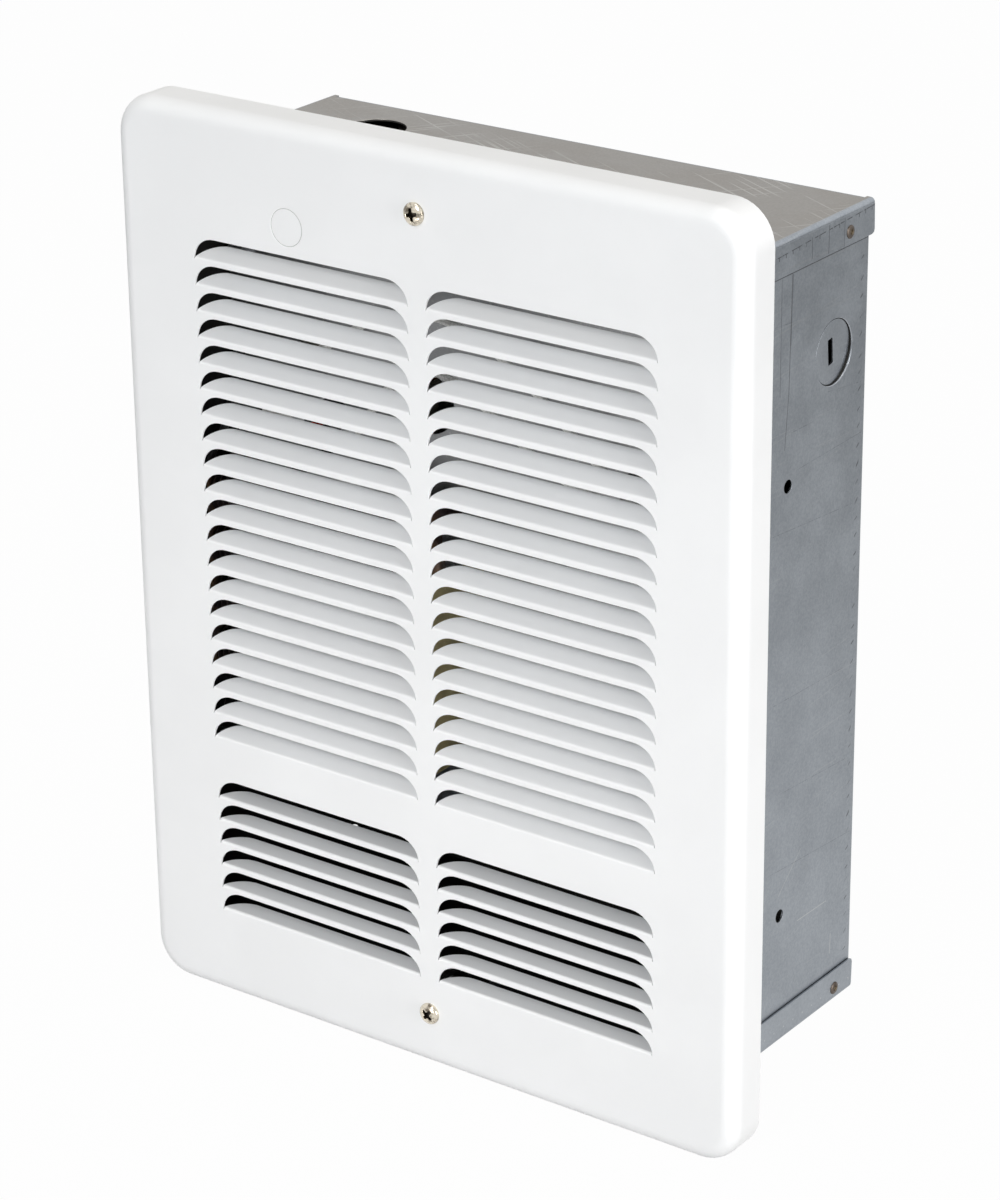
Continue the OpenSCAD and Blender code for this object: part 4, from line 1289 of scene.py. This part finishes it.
@dataclass
class Rivets:
    """Blind rivets through the caps' flanges, each with its broken-off mandrel in the middle.

    The profiles are radius and height over the flange: the hole's lip, the tail behind the sheet, and
    the mandrel's stub. The dome between lip and tail is an ellipse's arc.
    """

    shop: Workshop
    side_x: float = 114.0
    top: Pair = (70.4, 139.7)
    bottom: Pair = (72.7, -142.5)
    back: Triple = (80.0, 86.0, 141.1)
    dome: Triple = (2.35, 0.72, 0.12)
    lip: tuple[Pair, ...] = ((0.98, 0.7), (1.05, 0.77))
    tail: tuple[Pair, ...] = ((2.3, 0.0), (1.6, 0.0), (1.6, -1.6), (2.2, -1.7), (2.1, -2.9), (0.3, -3.0))
    core: tuple[Pair, ...] = ((0.05, 0.42), (0.5, 0.4), (0.72, 0.3), (0.8, 0.22), (0.86, 0.22), (0.98, 0.7))
    around: int = 32

    def one(self, skin: Skin, at: Triple, way: Triple) -> None:
        """One rivet at a point, its head facing a way.

        Args:
            skin: the mesh in the making.
            at: the head's middle on the flange, in millimetres.
            way: the unit vector that the head faces.
        """
        across, tall, base = self.dome
        arch = [(across * math.sin(a), base + tall * math.cos(a)) for a in np.radians(np.arange(28, 89, 12))]
        skin.turn([*self.lip, *arch, *self.tail], at, way, self.around)
        skin.turn(self.core, at, way, self.around, slot=1)

    def build(self) -> None:
        """Builds all eight as one piece."""
        skin = Skin()
        x, y, high = self.back
        for s in (-1, 1):
            for deep, z in (self.top, self.bottom):
                self.one(skin, (s * self.side_x, deep, z), (s, 0, 0))
            for z in (-high, high):
                self.one(skin, (s * x, y, z), (0, 1, 0))
        materials = self.shop.materials(Finish.rivet, RIVET_CORE)
        self.shop.hand_in(smooth(skin.piece("rivets", materials, 2e-3), 50), Finish.rivet, "can_rivets")


# ---------------------------------------------------------------- wall can


@dataclass
class WallCan:
    """The galvanised can: a wrap folded from one sheet, and two caps whose flanges lie over it.

    The material slots are the sheet's outer side, a cap's flanges, the inner side of both, and the
    knock-out's bright sheared edge. The caps' webs wear a warm tone that is painted light from above,
    and the inner side is nearly black as painted shade. The knock-out's dark wall takes the inner
    side's slot too, as painted shade in the gap round the disc.
    """

    shop: Workshop
    half_w: float = 114.0
    half_h: float = 147.5
    depth: float = 86.0
    sheet: float = 0.8
    cap_bend: float = 1.6
    back_bend: float = 2.0
    flange: float = 12.2
    front_cut: Pair = (1.0, 0.3)
    rear_cut: Pair = (1.6, 0.45)
    back_inset: float = 3.1
    slack: float = 0.02
    rounding: float = 0.12
    side_ends: Pair = (85.9, 84.6)
    gap: float = 0.22
    notch: Pair = (7.0, 8.0)
    stud_y: float = 36.0
    stud_z: Pair = (60.9, -98.2)
    stud_r: float = 2.4
    knockout: Pair = (63.2, 99.9)
    knockout_r: float = 11.6
    knockout_lean: float = -42.0
    sunk_least: float = 0.04
    sunk_more: float = 1.2
    sunk_power: float = 1.6
    # The sheared wall's rings: how far inside the radius, how deep, and the share of the disc's depth added.
    shear: tuple[Triple, ...] = (
        (0.0, 0.0, 0.0), (0.06, 0.1, 0.3), (0.3, 0.3, 1.0), (0.34, 0.08, 1.0), (0.5, 0.0, 1.0),
    )
    pry: Pair = (61.7, 100.4)
    pry_size: Pair = (3.1, 9.4)
    pry_corner: float = 0.35
    pry_turn: float = 7.7
    top_hole: Pair = (-74.0, 59.5)
    top_hole_r: float = 11.1
    steps: int = 64
    stud_steps: int = 32

    def sunk(self, flat: Array) -> Array:
        """How deep the half-sheared disc lies: `least + more q^power`, q from 0 to 1 across its lean.

        Args:
            flat: points as depth and height.

        Returns:
            The depth under the sheet at each.
        """
        t = math.radians(self.knockout_lean)
        off = flat - self.knockout
        share = 0.5 + 0.5 * (off[..., 0] * math.cos(t) + off[..., 1] * math.sin(t)) / self.knockout_r
        return self.sunk_least + self.sunk_more * np.clip(share, 0, 1) ** self.sunk_power

    def blank(self, skin: Skin, side: int, x: float) -> Array:
        """The closed knock-out: its sheared wall, the disc behind it and the pry slot.

        Args:
            skin: the mesh in the making.
            side: 1 on the right, -1 on the left.
            x: the wrap's outer side on that side.

        Returns:
            The loop left open in the wrap, as depth and height.
        """
        flat = np.stack([circle(self.knockout, self.knockout_r - ring[0], self.steps) for ring in self.shear])
        sunk = self.sunk(flat[-1])
        deep = np.stack([first + share * sunk for _, first, share in self.shear])
        points = xyz(x - side * deep, flat[..., 0], flat[..., 1])
        # The sheared wall's middle rings take slot 2, the inner side's near black: painted shade in the gap
        # round the disc.
        for rows, slot in ((points[:2], 4), (points[1:4], 2), (points[3:], 0)):
            skin.grid(rows, closed=True, flip=side < 0, slot=slot)
        a = math.radians(self.pry_turn)
        turn = np.array([[math.cos(a), math.sin(a)], [-math.sin(a), math.cos(a)]])
        slot = rounded_loop(self.pry_size[0] / 2, self.pry_size[1] / 2, self.pry_corner, 3) @ turn + self.pry
        skin.plate(flat[-1], [slot], lambda p: xyz(x - side * self.sunk(p), p[:, 0], p[:, 1]), side < 0)
        return flat[0]

    def wrap(self) -> None:
        """Sides and back: two flat sides with their holes, two bends and the back."""
        skin = Skin()
        x, back = self.half_w - self.sheet, self.depth - self.sheet
        high, r = self.half_h - self.cap_bend - 0.1, self.back_bend
        a = np.radians(np.linspace(0, 90, BEND_POINTS))[:, None]
        for side in (-1, 1):
            holes = [self.blank(skin, side, side * x)]
            holes += [circle((self.stud_y, z), self.stud_r, self.stud_steps) for z in self.stud_z]
            outline = np.array([[0, -high], [back - r, -high], [back - r, high], [0, high]])
            skin.plate(outline, holes, lambda p, x=side * x: xyz(x, p[:, 0], p[:, 1]), side < 0)
            across, deep = side * (x - r + r * np.cos(a)), back - r + r * np.sin(a)
            skin.grid(xyz(across, deep, np.array([-high, high])), flip=side > 0)
        flat = np.array([[x - r, -high], [-x + r, -high], [-x + r, high], [x - r, high]])
        skin.add(xyz(flat[:, 0], back, flat[:, 1]), [(0, 1, 2, 3)])
        self.dress(skin, "wall_can_wrap", "can_wrap", CAN_SIDE)

    def web(self, skin: Skin, up: int, side_end: float) -> None:
        """A cap's level web, with the notch for the cover screw and, on top, the cable's hole.

        Args:
            skin: the mesh in the making.
            up: 1 for the top cap, -1 for the bottom one.
            side_end: how far back the side flanges reach.
        """
        half, inner = self.half_w - self.cap_bend, self.half_w - self.back_inset
        back = self.depth - self.back_bend
        notch_x, notch_y = self.notch
        right = np.array([
            [notch_x, notch_y], [notch_x, 0], [half, 0], [half, side_end], [inner, side_end], [inner, back],
        ])
        outline = np.concatenate([right, right[::-1] * [-1, 1]])
        holes = [circle(self.top_hole, self.top_hole_r, self.steps)] if up > 0 else []
        skin.plate(outline, holes, lambda p: xyz(p[:, 0], p[:, 1], up * self.half_h), up < 0)

    def cap(self, up: int) -> None:
        """One cap: a web, two side flanges that stand a little off the wrap, and a back flange.

        A side flange's outer side is at `w + gap (h - r - z) / (h - r - low)`, so it opens by the gap
        towards its free edge.

        Args:
            up: 1 for the top cap, -1 for the bottom one.
        """
        skin = Skin()
        w, h, d, r, low = self.half_w, self.half_h, self.depth, self.cap_bend, self.half_h - self.flange
        b, inner, end = self.back_bend, self.half_w - self.back_inset, self.side_ends[0 if up > 0 else 1]
        self.web(skin, up, end)
        a = np.radians(np.linspace(0, 90, BEND_POINTS))[:, None]
        (cut, chord), (rear_cut, rear_chord) = self.front_cut, self.rear_cut
        side_flange = np.array([
            [0, h - r], [0, low + cut], [chord, low + chord], [cut, low], [end - rear_cut, low],
            [end - rear_chord, low + rear_chord], [end, low + rear_cut], [end, h - r],
        ])
        for side in (-1, 1):
            across, tall = side * (w - r + r * np.sin(a)), up * (h - r + r * np.cos(a))
            skin.grid(xyz(across, np.array([0.0, end]), tall), flip=side * up > 0, slot=1)

            def place(p: Array, side: int = side) -> Array:
                """The side flange's points for flat Y and Z."""
                out = w + self.gap * (h - r - p[:, 1]) / (h - r - low)
                return xyz(side * out, p[:, 0], up * p[:, 1])

            skin.plate(side_flange, [], place, side * up < 0, 1)
        deep, tall = d - b + b * np.sin(a), up * (h - b + b * np.cos(a))
        skin.grid(xyz(np.array([-inner, inner]), deep, tall), flip=up < 0, slot=1)
        flat = np.array([[inner, h - b], [inner, low], [-inner, low], [-inner, h - b]])
        corners = (0, 1, 2, 3) if up > 0 else (3, 2, 1, 0)
        skin.add(xyz(flat[:, 0], d, up * flat[:, 1]), [corners], 1)
        name = "top" if up > 0 else "bottom"
        self.dress(skin, f"cap_{name}", f"can_{name}", CAN_WEB_WARM_LIT)

    def dress(self, skin: Skin, name: str, node: str, outer: Recipe) -> None:
        """Gives a part of the can its thickness and its finishes, fastens it to the still body and hides the
        CAD node.

        Args:
            skin: the part's mesh.
            name: the piece's name.
            node: the CAD node that it stands for.
            outer: the finish of its outer side.
        """
        materials = self.shop.materials(outer, CAN_SIDE, CAN_INSIDE_SHADE, CAN_INSIDE_SHADE, SHEARED)
        piece = smooth(skin.piece(name, materials, 2e-3), 40)
        sheet_metal(piece, self.sheet - self.slack, self.rounding, 2)
        self.shop.hand_in(piece, Finish.galvanised, node)

    def build(self) -> None:
        """Builds the wrap and both caps."""
        self.wrap()
        self.cap(1)
        self.cap(-1)


# ---------------------------------------------------------------- carried-over nodes


CARRIED: dict[Finish, tuple[str, ...]] = {
    Finish.spring_steel: ("grille_clips", "hub_screw"),
    Finish.galvanised: ("grille_ears", "deck_rails", "fan_deck", "orifice_ring", "motor_bridge"),
    Finish.zinc_plate: (
        "deck_screws", "element_terminals", "limit_bracket", "limit_tabs", "fuse_clip", "motor_shaft",
        "motor_bolts", "motor_nuts", "bridge_screws",
    ),
    Finish.grommet_rubber: ("wire_grommet",),
    Finish.mica: ("mica_shield",),
    Finish.sheath_steel: ("element_sheath", "element_plates"),
    Finish.fin_steel: ("element_fins",),
    Finish.bushing_ceramic: ("element_bushings",),
    Finish.phenolic: ("limit_body",),
    Finish.button_red: ("limit_button",),
    Finish.fuse_case: ("thermal_fuse",),
    Finish.blade_aluminium: ("fan_blades",),
    Finish.hub_zinc: ("fan_hub", "front_bracket", "rear_bracket"),
    Finish.lamination: ("rotor", "stator"),
    Finish.copper: ("motor_coil", "shading_rings"),
    Finish.bobbin_nylon: ("coil_bobbin",),
    Finish.bronze: ("bearings",),
    Finish.wire_white: ("white_wires",),
    Finish.wire_dark: ("motor_leads",),
    Finish.wire_green: ("ground_wire",),
    Finish.screw_green: ("ground_screws",),
    Finish.nut_tan: ("wire_nuts",),
}


# ---------------------------------------------------------------- studio


@dataclass(frozen=True)
class Lamp:
    """A square soft box: where it stands and what it faces in metres, its side, watts and colour."""

    name: str
    place: Triple
    aim: Triple
    size: float
    power: float
    colour: Colour

    def build(self) -> None:
        """Hangs the lamp."""
        data = bpy.data.lights.new(self.name, "AREA")
        data.size, data.energy, data.color = self.size, self.power, self.colour
        lamp = bpy.data.objects.new(self.name, data)
        facing = (Vector(self.aim) - Vector(self.place)).to_track_quat("-Z", "Y")
        lamp.matrix_world = Matrix.Translation(self.place) @ facing.to_matrix().to_4x4()
        bpy.context.scene.collection.objects.link(lamp)


LAMPS = (
    Lamp("key", (0.5, -2.45, 1.45), (0, 0, 0), 0.6, 38.5, (0.935, 0.97, 1.0)),
    Lamp("above front", (0.2, -1.9, 1.85), (0, 0, 0), 0.6, 10.0, (1.0, 0.97, 0.94)),
    Lamp("above", (0.1, 0.1, 1.9), (0, 0, 0.15), 1.0, 9.5, (1.0, 0.95, 0.87)),
    Lamp("side", (2.4, -0.2, 0.3), (0, 0, 0), 1.2, 38.5, (0.985, 0.98, 0.975)),
    Lamp("foot", (0.0, -0.42, -0.15), (0.0, -0.016, -0.15), 0.2, 0.5, (1.0, 0.96, 0.93)),
    Lamp("right foot", (0.6, -0.12, -0.12), (0.129, -0.01, -0.13), 0.2, 0.3, (1.0, 0.97, 0.95)),
    Lamp("back", (-1.5, 2.1, 1.0), (0, 0, 0.1), 2.4, 1.0, (1.0, 0.945, 0.855)),
    Lamp("rear right", (0.9, 1.75, 1.35), (0, 0, 0), 2.3, 4.0, (0.94, 0.97, 1.0)),
)


@dataclass
class Studio:
    """The camera at the photograph's angle, a pale floor, a soft sky, and the lamps."""

    focal_px: float = 3852.9
    frame_h_px: float = 1200.0
    azimuth: float = 36.177
    elevation: float = 22.935
    roll: float = -0.641
    distance: float = 1290.03
    target: Triple = (33.229, -16.0, 19.324)
    sensor: float = 24.0
    floor_z: float = -170.0
    floor_reach: float = 6000.0
    floor_tone: float = 0.5
    floor_glow: float = 0.98
    mirrored_from: float = 100.0
    mirrored_to: float = 1100.0
    mirrored_far: float = 0.35
    sky: float = 0.12

    def camera(self) -> None:
        """Places the camera by its azimuth, elevation, roll and distance from a point on the face."""
        a, e, k = (math.radians(v) for v in (self.azimuth, self.elevation, self.roll))
        back = Vector((math.sin(a) * math.cos(e), -math.cos(a) * math.cos(e), math.sin(e)))
        right = (-back).cross(Vector((0, 0, 1))).normalized()
        level = Matrix((right, right.cross(-back), back)).transposed().to_4x4()
        data = bpy.data.cameras.new("camera")
        data.sensor_fit = "VERTICAL"
        data.sensor_height = self.sensor
        data.lens = self.focal_px * self.sensor / self.frame_h_px
        data.clip_start, data.clip_end = 0.05, 50.0
        camera = bpy.data.objects.new("camera", data)
        place = (Vector(self.target) + back * self.distance) * MM
        camera.matrix_world = Matrix.Translation(place) @ level @ Matrix.Rotation(k, 4, "Z")
        bpy.context.scene.collection.objects.link(camera)
        bpy.context.scene.camera = camera

    def floor(self) -> None:
        """A plain pale floor that keeps a soft shadow.

        The eye sees it white. Reflections see it white near the object and darker far away, by a smooth
        step over its distance from the origin.
        """
        skin = Skin()
        corners = self.floor_reach * np.array([[-1, -1], [1, -1], [1, 1], [-1, 1]])
        skin.add(xyz(corners[:, 0], corners[:, 1], self.floor_z), [(0, 1, 2, 3)])
        material = bpy.data.materials.new("floor")
        g = Graph(material)
        tone = (self.floor_tone,) * 3
        surface = g.principled(Base_Color=tone, Roughness=0.9, Specular_IOR_Level=0.0)
        x, y, _ = g.split(g.at())
        away = g.math("SQRT", g.math("ADD", g.times(x, x), g.times(y, y)))
        mirrored = g.ramp(away, self.mirrored_from, self.mirrored_to, (1.0, self.mirrored_far))
        glow = g.node("Emission", {"Color": (1, 1, 1), "Strength": 1.0}).outputs[0]
        seen = g.times(self.seen(g, mirrored), self.floor_glow)
        g.node("OutputMaterial", {"Surface": self.either(g, seen, surface, glow)})
        skin.piece("floor", [material])

    def world(self) -> None:
        """A soft white sky, which the camera and reflections see as plain white."""
        world = bpy.data.worlds.new("world")
        g = Graph(world)
        sky, plain = (
            g.node("Background", {"Color": (1, 1, 1), "Strength": strength}).outputs[0]
            for strength in (self.sky, 1.0)
        )
        g.node("OutputWorld", {"Surface": self.either(g, self.seen(g, 1.0), sky, plain)})
        bpy.context.scene.world = world

    def seen(self, g: Graph, mirrored: Socket | float) -> Socket:
        """1 for rays of the camera and through glass, and mirrored for reflected ones; 0 for light.

        Args:
            g: the node tree.
            mirrored: how much reflections see.

        Returns:
            The share of plain white.
        """
        ray = g.node("LightPath", {}).outputs
        glossy = g.times(ray["Is Glossy Ray"], mirrored)
        return g.most(ray["Is Camera Ray"], glossy, ray["Is Transmission Ray"])

    def either(self, g: Graph, share: Socket, lit: Socket, plain: Socket) -> Socket:
        """Mixes two shaders; share is how much of plain."""
        return g.node("MixShader", {0: share, 1: lit, 2: plain}).outputs[0]

    def build(self) -> None:
        """Sets up everything that isn't the object."""
        self.camera()
        self.floor()
        self.world()
        for lamp in LAMPS:
            lamp.build()
        bpy.context.scene.view_settings.view_transform = "Standard"


def main() -> None:
    """Builds the studio and every sub-assembly in order."""
    logging.basicConfig(level=logging.INFO, format="%(name)s: %(message)s")
    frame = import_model()
    shop = Workshop(frame["nodes"])
    Studio().build()
    for finish, names in CARRIED.items():
        for name in names:
            shop.dress_node(name, finish)
    FrontPan(shop).build()
    GrilleScrews(shop).build()
    WallCan(shop).build()
    Rivets(shop).build()


if __name__ == "__main__":
    main()
